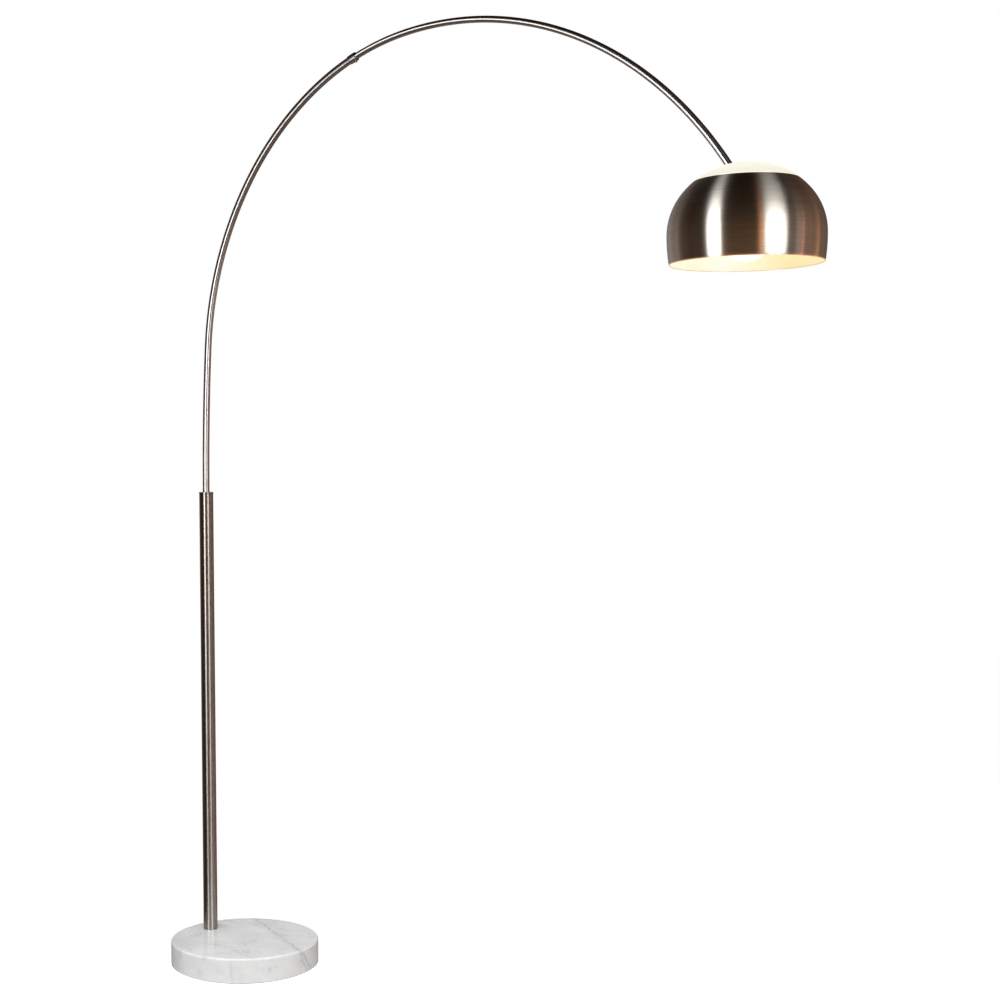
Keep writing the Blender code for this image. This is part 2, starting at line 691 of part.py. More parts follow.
neck_angle = math.asin(0.0140 / GLOBE_RADIUS)
GLASS_WALL = 0.0010
glass_outer = [(0.0120, 0.1000), (0.0120, 0.0925), (0.0132, 0.0905)]
glass_outer += arc_points((0.0, GLOBE_CENTRE), GLOBE_RADIUS, neck_angle, math.pi, 8)
glass_inner = arc_points((0.0, GLOBE_CENTRE), GLOBE_RADIUS - GLASS_WALL, math.pi, neck_angle, 8)
glass_inner += [(0.0121, 0.0898), (0.0110, 0.0920), (0.0110, 0.1000)]
turned("bulb_globe", glass_outer + glass_inner, BULB_GLASS, steps=28, closed=True, location=shade_place)
turned(
    "bulb_cap",
    [(0.0080, 0.1122), (0.0120, 0.1100), (0.0133, 0.1080), (0.0133, 0.0935), (0.0125, 0.0935),
     (0.0125, 0.1065), (0.0080, 0.1090)],
    ZINC, steps=24, closed=True, location=shade_place)
turned(
    "bulb_contact",
    [(0.0, 0.1138), (0.0040, 0.1135), (0.0048, 0.1126), (0.0076, 0.1118), (0.0076, 0.1085),
     (0.0, 0.1085)],
    BRASS, steps=16, location=shade_place)


def smooth_run(points, per_span):
    """Points on a smooth curve through the given ones (Catmull-Rom)."""
    padded = [2.0 * points[0] - points[1]] + points + [2.0 * points[-1] - points[-2]]
    run = []
    for i in range(1, len(padded) - 2):
        before, start, end, after = padded[i - 1:i + 3]
        for j in range(per_span):
            t = j / per_span
            run.append(0.5 * (
                2.0 * start
                + (end - before) * t
                + (2.0 * before - 5.0 * start + 4.0 * end - after) * t * t
                + (3.0 * start - before - 3.0 * end + after) * t * t * t
            ))
    run.append(points[-1])
    return run


end_lean = arm_state(PIVOT_ALONG)[2]
into_shade = Vector((math.sin(end_lean), 0.0, math.cos(end_lean)))
head_wire = [pivot_frame.translation + into_shade * 0.0006]
head_wire.append(pivot_frame.translation + into_shade * 0.0080)
head_wire.append(Vector((SHADE_X - 0.0085, 0.0, over_rim(0.1475))))
head_wire.append(Vector((SHADE_X - 0.0030, 0.0, over_rim(0.1490))))
head_wire.append(Vector((SHADE_X, 0.0, over_rim(0.1445))))
head_wire.append(Vector((SHADE_X, 0.0, over_rim(0.1370))))
head_wire.append(Vector((SHADE_X, 0.0, over_rim(0.1262))))
wire("wire_head", smooth_run(head_wire, 3))

# ------------------------------------------------ moving pieces and their axes
main_start = arm_state(LEAN_END)
reach_centre = (
    main_start[0] + MAIN_BEND[0] * math.cos(main_start[2]),
    0.0,
    main_start[1] - MAIN_BEND[0] * math.sin(main_start[2]),
)
PIVOTS = {
    "arm_swivel_axis": ((POLE_X, 0.0, ARM_START_Z), (
        "lower_arc_tube", "arm_foot_plug", "clamp_collar", "clamp_screw", "wire_lower_arm")),
    "arm_reach_axis": (reach_centre, (
        "upper_arc_tube", "tail_ring", "arm_end_sleeve", "pivot_screw_front", "pivot_screw_back",
        "wire_upper_arm")),
    "shade_tilt_axis": (tuple(pivot_frame.translation), (
        "shade_yoke", "shade_bridge", "bowl_shell", "bowl_liner", "opal_cap", "holder_nipple",
        "holder_nut", "holder_body", "holder_ring", "holder_insert", "holder_screw_shell",
        "holder_contact", "bulb_globe", "bulb_cap", "bulb_contact", "wire_head")),
}
bpy.context.view_layer.update()
above = None
for pivot_name, (place, members) in PIVOTS.items():
    pivot = bpy.data.objects.new(pivot_name, None)
    parts.objects.link(pivot)
    pivot.location = place
    bpy.context.view_layer.update()
    if above is not None:
        pivot.parent = above
        pivot.matrix_parent_inverse = above.matrix_world.inverted()
    for member in members:
        child = bpy.data.objects[member]
        child.parent = pivot
        child.matrix_parent_inverse = Matrix.Translation(place).inverted()
    bpy.context.view_layer.update()
    above = pivot
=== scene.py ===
"""Looks for the arc floor lamp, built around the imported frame. Lengths are in metres."""

import json
import math

import bpy
from mathutils import Matrix, Vector

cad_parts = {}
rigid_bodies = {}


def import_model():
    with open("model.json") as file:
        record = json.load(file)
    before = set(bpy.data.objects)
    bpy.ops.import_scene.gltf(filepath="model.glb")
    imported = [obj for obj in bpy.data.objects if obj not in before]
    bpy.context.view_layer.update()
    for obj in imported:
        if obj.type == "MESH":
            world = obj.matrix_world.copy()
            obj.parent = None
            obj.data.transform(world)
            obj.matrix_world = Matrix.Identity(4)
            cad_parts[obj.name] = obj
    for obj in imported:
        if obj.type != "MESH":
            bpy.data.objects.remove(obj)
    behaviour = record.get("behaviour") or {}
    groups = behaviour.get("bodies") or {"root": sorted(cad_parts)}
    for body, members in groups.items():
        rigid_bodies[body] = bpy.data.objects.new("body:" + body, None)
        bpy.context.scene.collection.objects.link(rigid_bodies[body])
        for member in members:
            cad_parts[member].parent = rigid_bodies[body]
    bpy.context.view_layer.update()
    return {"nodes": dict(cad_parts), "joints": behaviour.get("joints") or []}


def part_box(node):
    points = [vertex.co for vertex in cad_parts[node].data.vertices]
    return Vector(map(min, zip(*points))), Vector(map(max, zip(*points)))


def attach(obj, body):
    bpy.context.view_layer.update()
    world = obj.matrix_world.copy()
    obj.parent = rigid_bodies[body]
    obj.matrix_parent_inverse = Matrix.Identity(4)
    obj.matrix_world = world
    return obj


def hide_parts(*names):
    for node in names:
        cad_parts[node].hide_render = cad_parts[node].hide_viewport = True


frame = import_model()
nodes = frame["nodes"]
joints = {joint["name"]: joint for joint in frame["joints"]}

# ------------------------------------------------------------------ measures
# Straight from the frame where it has them, and else the part's own numbers.
pole_low, pole_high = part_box("pole_tube")
POLE_X = (pole_low.x + pole_high.x) / 2.0
POLE_RADIUS = (pole_high.y - pole_low.y) / 2.0
cap_low, cap_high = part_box("pole_cap")
POLE_TOP_Z = cap_high.z
slab_low, slab_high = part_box("base_slab")
BASE_RADIUS = slab_high.x
BASE_TOP_Z = slab_high.z
bowl_low, bowl_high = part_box("bowl_shell")
SHADE_X = (bowl_low.x + bowl_high.x) / 2.0
RIM_Z = bowl_low.z
ARM_START_Z = joints["arm_swivel"]["pos_m"][2]

# bends of the arm: (radius, turn in radians)
LEAN_BEND = (4.746, 0.0692)
MAIN_BEND = (0.6511, 1.4317)
TIP_BEND = (0.8200, 1.0374)
COLLAR_ALONG = 1.1117
SPIGOT_LENGTH = 0.124
TAIL_OVERLAP = 0.120
TIP_INSET = 0.0305
END_GAP = 0.0083
LOWER_RADIUS = 0.0078
LOWER_BORE = 0.0071
UPPER_RADIUS = 0.0066
UPPER_BORE = 0.0055
LEAN_END = LEAN_BEND[0] * LEAN_BEND[1]
MAIN_END = LEAN_END + MAIN_BEND[0] * MAIN_BEND[1]
TIP_END = MAIN_END + TIP_BEND[0] * TIP_BEND[1]
PIVOT_ALONG = TIP_END + TIP_INSET


def arm_state(along):
    """Centreline point and lean angle at a distance from the arm's start."""
    x = POLE_X
    z = ARM_START_Z
    if along <= 0.0:
        return x, z + along, 0.0
    lean = 0.0
    left = along
    for radius, turn in (LEAN_BEND, MAIN_BEND, TIP_BEND):
        step = min(turn, left / radius)
        x += radius * (math.cos(lean) - math.cos(lean + step))
        z += radius * (math.sin(lean + step) - math.sin(lean))
        lean += step
        left -= radius * step
        if left <= 1e-9:
            return x, z, lean
    return x + left * math.sin(lean), z + left * math.cos(lean), lean


def arm_frame(along):
    """Matrix with local Z along the arm."""
    x, z, lean = arm_state(along)
    return Matrix.Translation((x, 0.0, z)) @ Matrix.Rotation(lean, 4, "Y")


# ------------------------------------------------------------- mesh building
def finish_mesh(name, mesh, material, body, replaces, sharp=35.0):
    """Shade, link and attach a new piece."""
    mesh.validate()
    mesh.shade_smooth()
    mesh.set_sharp_from_angle(angle=math.radians(sharp))
    mesh.materials.append(material)
    obj = bpy.data.objects.new(name, mesh)
    bpy.context.scene.collection.objects.link(obj)
    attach(obj, body)
    if replaces:
        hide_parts(*replaces)
    return obj


def lathe_mesh(name, profile, steps, place=Matrix.Identity(4), closed=False):
    """Turned mesh about local Z, with a UV map in metres: round, then along.

    Points run down the outer side.
    """
    verts = []
    rings = []
    spots = []
    travel = 0.0
    before = profile[0]
    for radius, height in profile:
        travel += math.hypot(radius - before[0], height - before[1])
        before = (radius, height)
        if radius < 1e-7:
            rings.append([len(verts)])
            verts.append(place @ Vector((0.0, 0.0, height)))
            spots.append(travel)
            continue
        ring = []
        for j in range(steps):
            angle = 2.0 * math.pi * j / steps
            ring.append(len(verts))
            verts.append(place @ Vector((radius * math.cos(angle), radius * math.sin(angle), height)))
        rings.append(ring)
        spots.append(travel)
    girth = 2.0 * math.pi * max(point[0] for point in profile)
    faces = []
    uvs = []
    pairs = list(zip(rings, rings[1:], spots, spots[1:]))
    if closed:
        pairs.append((rings[-1], rings[0], spots[-1], spots[-1] + 0.001))
    for upper, lower, high, low in pairs:
        if len(upper) == 1 and len(lower) == 1:
            continue
        for j in range(steps):
            k = (j + 1) % steps
            left = girth * j / steps
            right = girth * (j + 1) / steps
            if len(upper) == 1:
                faces.append((upper[0], lower[j], lower[k]))
                uvs.extend([(left, high), (left, low), (right, low)])
            elif len(lower) == 1:
                faces.append((upper[j], lower[0], upper[k]))
                uvs.extend([(left, high), (left, low), (right, high)])
            else:
                faces.append((upper[j], lower[j], lower[k], upper[k]))
                uvs.extend([(left, high), (left, low), (right, low), (right, high)])
    mesh = bpy.data.meshes.new(name)
    mesh.from_pydata(verts, [], faces)
    layer = mesh.uv_layers.new(name="along")
    for target, spot in zip(layer.data, uvs):
        target.uv = spot
    return mesh


def arc(centre, radius, start, end, count):
    """Profile points on a circle; angles are measured from the vertical."""
    points = []
    for i in range(count + 1):
        angle = start + (end - start) * i / count
        points.append((centre[0] + radius * math.sin(angle), centre[1] + radius * math.cos(angle)))
    return points


def tube_mesh(name, start, end, radius, bore, sides, step, rounding=0.00025):
    """Hollow tube along the arm, with a UV map in metres: round, then along."""
    count = max(2, math.ceil((end - start) / step))
    stations = [start + (end - start) * i / count for i in range(count + 1)]
    stations[1:1] = [start + rounding]
    stations[-1:-1] = [end - rounding]
    count += 2
    verts = []
    for outside, plain_skin in ((True, radius), (False, bore)):
        for index, along in enumerate(stations):
            place = arm_frame(along)
            skin = plain_skin
            if outside and index in (0, count):
                skin = plain_skin - rounding
            for j in range(sides):
                angle = 2.0 * math.pi * j / sides
                verts.append(place @ Vector((skin * math.cos(angle), skin * math.sin(angle), 0.0)))
    faces = []
    uvs = []
    block = (count + 1) * sides

    def add(i, j, flip):
        k = (j + 1) % sides
        base = block if flip else 0
        here = base + i * sides
        beyond = here + sides
        quad = [here + j, here + k, beyond + k, beyond + j]
        girth = 2.0 * math.pi * radius / sides
        spots = [
            (j * girth, stations[i]), ((j + 1) * girth, stations[i]),
            ((j + 1) * girth, stations[i + 1]), (j * girth, stations[i + 1]),
        ]
        if flip:
            quad.reverse()
            spots.reverse()
        faces.append(quad)
        uvs.extend(spots)

    for i in range(count):
        for j in range(sides):
            add(i, j, False)
            add(i, j, True)
    for j in range(sides):
        k = (j + 1) % sides
        faces.append([k, j, block + j, block + k])
        uvs.extend([(0.0, start)] * 4)
        last = count * sides
        faces.append([last + j, last + k, block + last + k, block + last + j])
        uvs.extend([(0.0, end)] * 4)
    mesh = bpy.data.meshes.new(name)
    mesh.from_pydata(verts, [], faces)
    layer = mesh.uv_layers.new(name="along")
    for target, spot in zip(layer.data, uvs):
        target.uv = spot
    return mesh


# ----------------------------------------------------------- material helpers
class Paint:
    """Short way to build one node material."""

    def __init__(self, name):
        self.material = bpy.data.materials.new(name)
        self.material.use_nodes = True
        self.tree = self.material.node_tree
        self.shader = self.tree.nodes["Principled BSDF"]

    def node(self, kind, **settings):
        made = self.tree.nodes.new(kind)
        for key, value in settings.items():
            setattr(made, key, value)
        return made

    def link(self, source, target):
        self.tree.links.new(source, target)

    def set(self, **values):
        for key, value in values.items():
            self.shader.inputs[key.replace("_", " ")].default_value = value

    def math(self, operation, a, b=None):
        made = self.node("ShaderNodeMath", operation=operation)
        for slot, value in zip(made.inputs, (a, b)):
            if value is None:
                continue
            if isinstance(value, (int, float)):
                slot.default_value = value
            else:
                self.link(value, slot)
        return made.outputs[0]

    def position(self, scale=(1.0, 1.0, 1.0), move=(0.0, 0.0, 0.0), uv=False):
        source = self.node("ShaderNodeTexCoord").outputs["UV" if uv else "Object"]
        mapping = self.node("ShaderNodeMapping")
        mapping.inputs["Location"].default_value = move
        mapping.inputs["Scale"].default_value = scale
        self.link(source, mapping.inputs["Vector"])
        return mapping.outputs[0]

    def noise(self, vector, scale, detail=2.0, rough=0.5):
        made = self.node("ShaderNodeTexNoise")
        made.inputs["Scale"].default_value = scale
        made.inputs["Detail"].default_value = detail
        made.inputs["Roughness"].default_value = rough
        self.link(vector, made.inputs["Vector"])
        return made.outputs["Fac"]

    def ramp(self, factor, stops, interpolation="LINEAR"):
        made = self.node("ShaderNodeValToRGB")
        made.color_ramp.interpolation = interpolation
        elements = made.color_ramp.elements
        while len(elements) < len(stops):
            elements.new(0.5)
        for element, (spot, colour) in zip(elements, stops):
            element.position = spot
            if isinstance(colour, (int, float)):
                colour = (colour, colour, colour)
            element.color = (*colour, 1.0)
        self.link(factor, made.inputs["Fac"])
        return made.outputs["Color"]

    def mix(self, factor, a, b, blend="MIX"):
        made = self.node("ShaderNodeMix", data_type="RGBA", blend_type=blend)
        for slot, value in ((made.inputs["Factor"], factor), (made.inputs["A"], a), (made.inputs["B"], b)):
            if isinstance(value, (int, float)):
                slot.default_value = value
            elif isinstance(value, tuple):
                slot.default_value = (*value, 1.0)
            else:
                self.link(value, slot)
        return made.outputs["Result"]

    def bump(self, height, distance, strength=1.0):
        made = self.node("ShaderNodeBump")
        made.inputs["Strength"].default_value = strength
        made.inputs["Distance"].default_value = distance
        self.link(height, made.inputs["Height"])
        self.link(made.outputs[0], self.shader.inputs["Normal"])


def brushed(name, colour, roughness, anisotropic, round_axis=(0.0, 0.0), uv=False, grain=0.05, depth=0.25,
            vary=0.02):
    """Metal with fine lines that run round its axis."""
    paint = Paint(name)
    paint.set(Metallic=1.0, Anisotropic=anisotropic)
    if uv:
        fine_place = paint.position(scale=(30.0, 2600.0, 1.0), uv=True)
        broad_place = paint.position(scale=(20.0, 14.0, 1.0), uv=True)
    else:
        x, y = round_axis
        fine_place = paint.position(scale=(14.0, 14.0, 2600.0), move=(-14.0 * x, -14.0 * y, 0.0))
        broad_place = paint.position(scale=(9.0, 9.0, 22.0))
    fine = paint.noise(fine_place, 1.0, 4.0, 0.65)
    broad = paint.noise(broad_place, 1.0, 3.0, 0.55)
    dark = tuple(channel * (1.0 - 2.0 * grain) for channel in colour)
    light = tuple(min(1.0, channel * (1.0 + 2.0 * grain)) for channel in colour)
    lines = paint.ramp(fine, [(0.30, dark), (0.70, light)])
    smudge = paint.ramp(broad, [(0.35, 0.90), (0.65, 1.0)])
    paint.link(paint.mix(1.0, lines, smudge, "MULTIPLY"), paint.shader.inputs["Base Color"])
    gloss = paint.math("MULTIPLY_ADD", fine, vary)
    gloss.node.inputs[2].default_value = roughness - vary / 2.0
    paint.link(gloss, paint.shader.inputs["Roughness"])
    tangent = paint.node("ShaderNodeTangent", direction_type="UV_MAP" if uv else "RADIAL")
    if uv:
        tangent.uv_map = "along"
    else:
        tangent.axis = "Z"
    paint.shader.inputs["Anisotropic Rotation"].default_value = 0.25
    paint.link(tangent.outputs[0], paint.shader.inputs["Tangent"])
    paint.bump(fine, 0.00002, depth)
    return paint


def plain_metal(name, colour, roughness, scale=900.0):
    """Small turned or plated parts: faint machining marks and stains."""
    paint = Paint(name)
    paint.set(Metallic=1.0)
    marks = paint.noise(paint.position(scale=(0.2, 0.2, 1.0)), scale, 3.0, 0.6)
    stain = paint.noise(paint.position(), 70.0, 4.0, 0.6)
    dark = tuple(channel * 0.78 for channel in colour)
    paint.link(paint.ramp(stain, [(0.35, dark), (0.62, colour)]), paint.shader.inputs["Base Color"])
    gloss = paint.math("MULTIPLY_ADD", stain, 0.2)
    gloss.node.inputs[2].default_value = roughness - 0.1
    paint.link(gloss, paint.shader.inputs["Roughness"])
    paint.bump(marks, 0.00003, 0.3)
    return paint.material


def moulded(name, colour, roughness, grain_scale=2200.0):
    """Plastic, felt or rubber with a fine grain."""
    paint = Paint(name)
    grain = paint.noise(paint.position(), grain_scale, 3.0, 0.6)
    cloud = paint.noise(paint.position(), 45.0, 3.0, 0.5)
    low = tuple(channel * 0.82 for channel in colour)
    high = tuple(min(1.0, channel * 1.08) for channel in colour)
    paint.link(paint.ramp(cloud, [(0.3, low), (0.7, high)]), paint.shader.inputs["Base Color"])
    gloss = paint.math("MULTIPLY_ADD", grain, 0.16)
    gloss.node.inputs[2].default_value = roughness - 0.08
    paint.link(gloss, paint.shader.inputs["Roughness"])
    paint.bump(grain, 0.00005, 0.3)
    return paint.material


def marble_material():
    """White marble: cloudy body, short grey streaks, spots and one long vein, with painted shade on one end
    and a painted highlight along the top edge.
    """
    paint = Paint("white_marble")
    paint.set(Roughness=0.20, Coat_Weight=0.22, Coat_Roughness=0.05)
    place = paint.position()

    def warped(scale, detail, amount):
        made = paint.node("ShaderNodeTexNoise")
        made.inputs["Scale"].default_value = scale
        made.inputs["Detail"].default_value = detail
        made.inputs["Roughness"].default_value = 0.6
        paint.link(place, made.inputs["Vector"])
        add = paint.node("ShaderNodeVectorMath", operation="MULTIPLY_ADD")
        paint.link(made.outputs["Color"], add.inputs[0])
        add.inputs[1].default_value = (amount, amount, amount)
        paint.link(place, add.inputs[2])
        centre = paint.node("ShaderNodeVectorMath", operation="SUBTRACT")
        paint.link(add.outputs[0], centre.inputs[0])
        centre.inputs[1].default_value = (amount / 2.0, amount / 2.0, amount / 2.0)
        return centre.outputs[0]

    def mapped(vector, turn, scale, move=(0.0, 0.0, 0.0)):
        made = paint.node("ShaderNodeMapping")
        made.inputs["Rotation"].default_value = turn
        made.inputs["Scale"].default_value = scale
        made.inputs["Location"].default_value = move
        paint.link(vector, made.inputs["Vector"])
        return made.outputs[0]

    def near(point, radius):
        gap = paint.node("ShaderNodeVectorMath", operation="DISTANCE")
        paint.link(soft, gap.inputs[0])
        gap.inputs[1].default_value = point
        reach = paint.math("DIVIDE", gap.outputs["Value"], radius)
        return paint.ramp(reach, [(0.0, 1.0), (1.0, 0.0)], "EASE")

    def vein(normal, offset, core_width, halo_width):
        dot = paint.node("ShaderNodeVectorMath", operation="DOT_PRODUCT")
        paint.link(soft, dot.inputs[0])
        dot.inputs[1].default_value = normal
        away = paint.math("ABSOLUTE", paint.math("SUBTRACT", dot.outputs["Value"], offset))
        core = paint.ramp(away, [(0.0, 1.0), (core_width, 0.0)], "EASE")
        halo = paint.ramp(away, [(0.0, 1.0), (halo_width, 0.0)], "EASE")
        return core, halo

    soft = warped(26.0, 5.0, 0.030)
    jagged = warped(34.0, 4.0, 0.020)
    parts = paint.node("ShaderNodeSeparateXYZ")
    paint.link(place, parts.inputs[0])
    on_top = paint.ramp(paint.math("DIVIDE", parts.outputs["Z"], BASE_TOP_Z), [(0.90, 0.22), (0.98, 1.0)])

    # faint clouds
    cloud = paint.noise(mapped(jagged, (0.0, 0.0, -0.78), (11.0, 20.0, 24.0)), 1.0, 4.0, 0.55)
    colour = paint.ramp(cloud, [(0.30, (0.690, 0.695, 0.700)), (0.52, (0.745, 0.745, 0.742)),
                                (0.72, (0.790, 0.788, 0.782))])

    # short grey streaks in loose patches
    def ridge(turn, scale, width, move):
        field = paint.noise(mapped(jagged, turn, scale, move), 1.0, 3.0, 0.5)
        return paint.ramp(paint.math("ABSOLUTE", paint.math("SUBTRACT", field, 0.5)),
                          [(0.0, 1.0), (width, 0.0)], "EASE")

    patch = paint.ramp(paint.noise(mapped(place, (0.0, 0.0, 0.4), (17.0, 17.0, 17.0)), 1.0, 2.0, 0.5),
                       [(0.44, 0.0), (0.60, 1.0)])
    streak = ridge((0.0, 0.0, -0.72), (9.0, 38.0, 30.0), 0.050, (0.3, 0.1, 0.0))
    amount = paint.math("MULTIPLY", paint.math("MULTIPLY", streak, patch),
                        paint.math("MULTIPLY", on_top, 0.62))
    colour = paint.mix(amount, colour, (0.52, 0.53, 0.54))
    hair = ridge((0.2, 0.3, 0.9), (16.0, 42.0, 34.0), 0.020, (3.0, 1.0, 2.0))
    colour = paint.mix(paint.math("MULTIPLY", hair, 0.13), colour, (0.50, 0.51, 0.53))

    # the long vein, its side branch and one upright hair vein
    broken = paint.ramp(paint.noise(place, 95.0, 3.0, 0.6), [(0.36, 0.25), (0.58, 1.0)])
    main_core, main_halo = vein((0.4066, 0.9135, 0.37), 0.0965, 0.0030, 0.0150)
    colour = paint.mix(paint.math("MULTIPLY", main_halo, 0.20), colour, (0.50, 0.51, 0.53))
    colour = paint.mix(paint.math("MULTIPLY", paint.math("MULTIPLY", main_core, broken), 0.62),
                       colour, (0.33, 0.35, 0.37))
    branch_core, branch_halo = vein((0.30, 0.86, 0.62), 0.0960, 0.0020, 0.0090)
    branch_near = near((0.158, 0.030, 0.035), 0.075)
    branch = paint.math("MULTIPLY", paint.math("ADD", branch_core, paint.math("MULTIPLY", branch_halo, 0.3)),
                        branch_near)
    colour = paint.mix(paint.math("MULTIPLY", branch, 0.50), colour, (0.38, 0.40, 0.42))
    hair_halo = vein((0.805, 0.593, 0.0), 0.0, 0.0022, 0.0080)[1]
    hair_near = near((0.0979, -0.1328, 0.026), 0.034)
    colour = paint.mix(paint.math("MULTIPLY", paint.math("MULTIPLY", hair_halo, hair_near), 0.36),
                       colour, (0.45, 0.46, 0.47))

    # spots, and painted shade that makes one end of the slab greyer
    for point, radius, depth in (
        ((0.1504, -0.0679, 0.0257), 0.0085, 0.70),
        ((0.1562, -0.0531, 0.0325), 0.0080, 0.40),
        ((0.0397, -0.1602, 0.0500), 0.0100, 0.45),
        ((-0.0348, -0.1613, 0.0436), 0.0180, 0.40),
        ((0.0290, -0.1624, 0.0170), 0.0150, 0.35),
        # painted shade: this wide patch greys one end of the slab's side
        ((-0.0950, -0.1350, 0.0300), 0.1050, 0.60),
        ((0.1620, 0.0200, 0.0200), 0.0600, 0.25),
    ):
        colour = paint.mix(paint.math("MULTIPLY", near(point, radius), depth), colour, (0.49, 0.50, 0.52))

    # painted highlight: a paler top edge, broken up in patches, stands in for light caught on the bevel
    out = paint.node("ShaderNodeVectorMath", operation="LENGTH")
    flat = paint.node("ShaderNodeVectorMath", operation="MULTIPLY")
    paint.link(place, flat.inputs[0])
    flat.inputs[1].default_value = (1.0, 1.0, 0.0)
    paint.link(flat.outputs[0], out.inputs[0])
    corner = paint.math("ADD", paint.math("SUBTRACT", out.outputs["Value"], BASE_RADIUS),
                        paint.math("SUBTRACT", parts.outputs["Z"], BASE_TOP_Z))
    near_corner = paint.ramp(paint.math("DIVIDE", paint.math("ADD", corner, 0.0062), 0.004),
                             [(0.0, 0.0), (0.7, 1.0)])
    edge_highlight_breakup = paint.ramp(paint.noise(place, 60.0, 4.0, 0.6), [(0.40, 0.35), (0.60, 1.0)])
    colour = paint.mix(paint.math("MULTIPLY", paint.math("MULTIPLY", near_corner, edge_highlight_breakup), 0.12),
                       colour, (0.93, 0.93, 0.92))

    paint.link(colour, paint.shader.inputs["Base Color"])
    gloss = paint.math("MULTIPLY_ADD", paint.noise(place, 240.0, 3.0, 0.6), 0.08)
    gloss.node.inputs[2].default_value = 0.16
    paint.link(gloss, paint.shader.inputs["Roughness"])
    return paint.material


def lit_material(name, colour, roughness, glow, strength, detail=260.0):
    """White surface that is lit through or from inside."""
    paint = Paint(name)
    cloud = paint.noise(paint.position(), 30.0, 3.0, 0.5)
    low = tuple(channel * 0.96 for channel in colour)
    paint.link(paint.ramp(cloud, [(0.3, low), (0.7, colour)]), paint.shader.inputs["Base Color"])
    paint.set(Roughness=roughness, Emission_Color=(*glow, 1.0), Emission_Strength=strength)
    paint.bump(paint.noise(paint.position(), detail, 2.0, 0.5), 0.00004, 0.15)
    return paint.material


def bowl_material():
    """Ring-brushed steel, tinted warm for the warm light it reflects, with a painted glow along its rim for
    the bulb's light caught there.
    """
    glow_height = 0.0033
    paint = brushed("bowl_steel", (0.66, 0.55, 0.45), 0.315, 1.0, (SHADE_X, 0.0),
                    grain=0.12, depth=0.15, vary=0.05)
    split = paint.node("ShaderNodeSeparateXYZ")
    paint.link(paint.position(), split.inputs[0])
    # painted glow: emission just above the rim stands in for the bulb's light caught on the rolled edge
    above = paint.math("DIVIDE", paint.math("SUBTRACT", split.outputs["Z"], RIM_Z), glow_height)
    glow = paint.ramp(above, [(0.0, (0.75, 0.55, 0.42)), (0.15, (0.50, 0.27, 0.12)),
                              (0.40, (0.22, 0.08, 0.02)), (0.85, (0.0, 0.0, 0.0))])
    paint.link(glow, paint.shader.inputs["Emission Color"])
    paint.set(Emission_Strength=1.0)
    return paint.material


def opal_material():
    """Acrylic cap with a painted glow for the bulb's light through it, a little dimmer and warmer towards its
    edge.
    """
    brightest = (SHADE_X, 0.0, RIM_Z + 0.165)
    reach = 0.1
    paint = Paint("opal_acrylic_lit")
    place = paint.position()
    cloud = paint.noise(place, 30.0, 3.0, 0.5)
    paint.link(paint.ramp(cloud, [(0.3, (0.78, 0.77, 0.73)), (0.7, (0.81, 0.80, 0.76))]),
               paint.shader.inputs["Base Color"])
    gap = paint.node("ShaderNodeVectorMath", operation="DISTANCE")
    paint.link(place, gap.inputs[0])
    gap.inputs[1].default_value = brightest
    # painted glow: emission stands in for the bulb's light through the cap, with painted shade dimming it
    # towards the edge
    glow = paint.ramp(paint.math("DIVIDE", gap.outputs["Value"], reach), [
        (0.0, (0.96, 0.935, 0.82)), (0.62, (0.955, 0.925, 0.805)), (0.93, (0.90, 0.85, 0.70))])
    paint.link(glow, paint.shader.inputs["Emission Color"])
    paint.set(Roughness=0.30, Emission_Strength=1.0)
    paint.bump(paint.noise(place, 260.0, 2.0, 0.5), 0.00004, 0.15)
    return paint.material


def enamel_material():
    """Inside paint of the bowl with a painted glow for the bulb's light on it, warmer to one side."""
    # turns a place into 0 to 1 from one side of the bowl to the other
    across_bowl = (3.578, 3.492, 0.0)
    paint = Paint("warm_white_enamel")
    place = paint.position()
    cloud = paint.noise(place, 30.0, 3.0, 0.5)
    paint.link(paint.ramp(cloud, [(0.3, (0.60, 0.58, 0.50)), (0.7, (0.63, 0.61, 0.53))]),
               paint.shader.inputs["Base Color"])
    across = paint.node("ShaderNodeVectorMath", operation="DOT_PRODUCT")
    paint.link(place, across.inputs[0])
    across.inputs[1].default_value = across_bowl
    side = paint.math("ADD", across.outputs["Value"], 0.5 - across_bowl[0] * SHADE_X)
    # painted light: emission stands in for the bulb's light on the enamel, warmer towards one side
    glow = paint.ramp(side, [(0.05, (0.53, 0.55, 0.44)), (0.50, (0.53, 0.56, 0.53)),
                             (0.70, (0.54, 0.52, 0.36)), (0.95, (0.54, 0.42, 0.18))])
    paint.link(glow, paint.shader.inputs["Emission Color"])
    paint.set(Roughness=0.45, Emission_Strength=1.0)
    paint.bump(paint.noise(place, 260.0, 2.0, 0.5), 0.00004, 0.15)
    return paint.material


# ------------------------------------------------------------------ materials
MARBLE = marble_material()
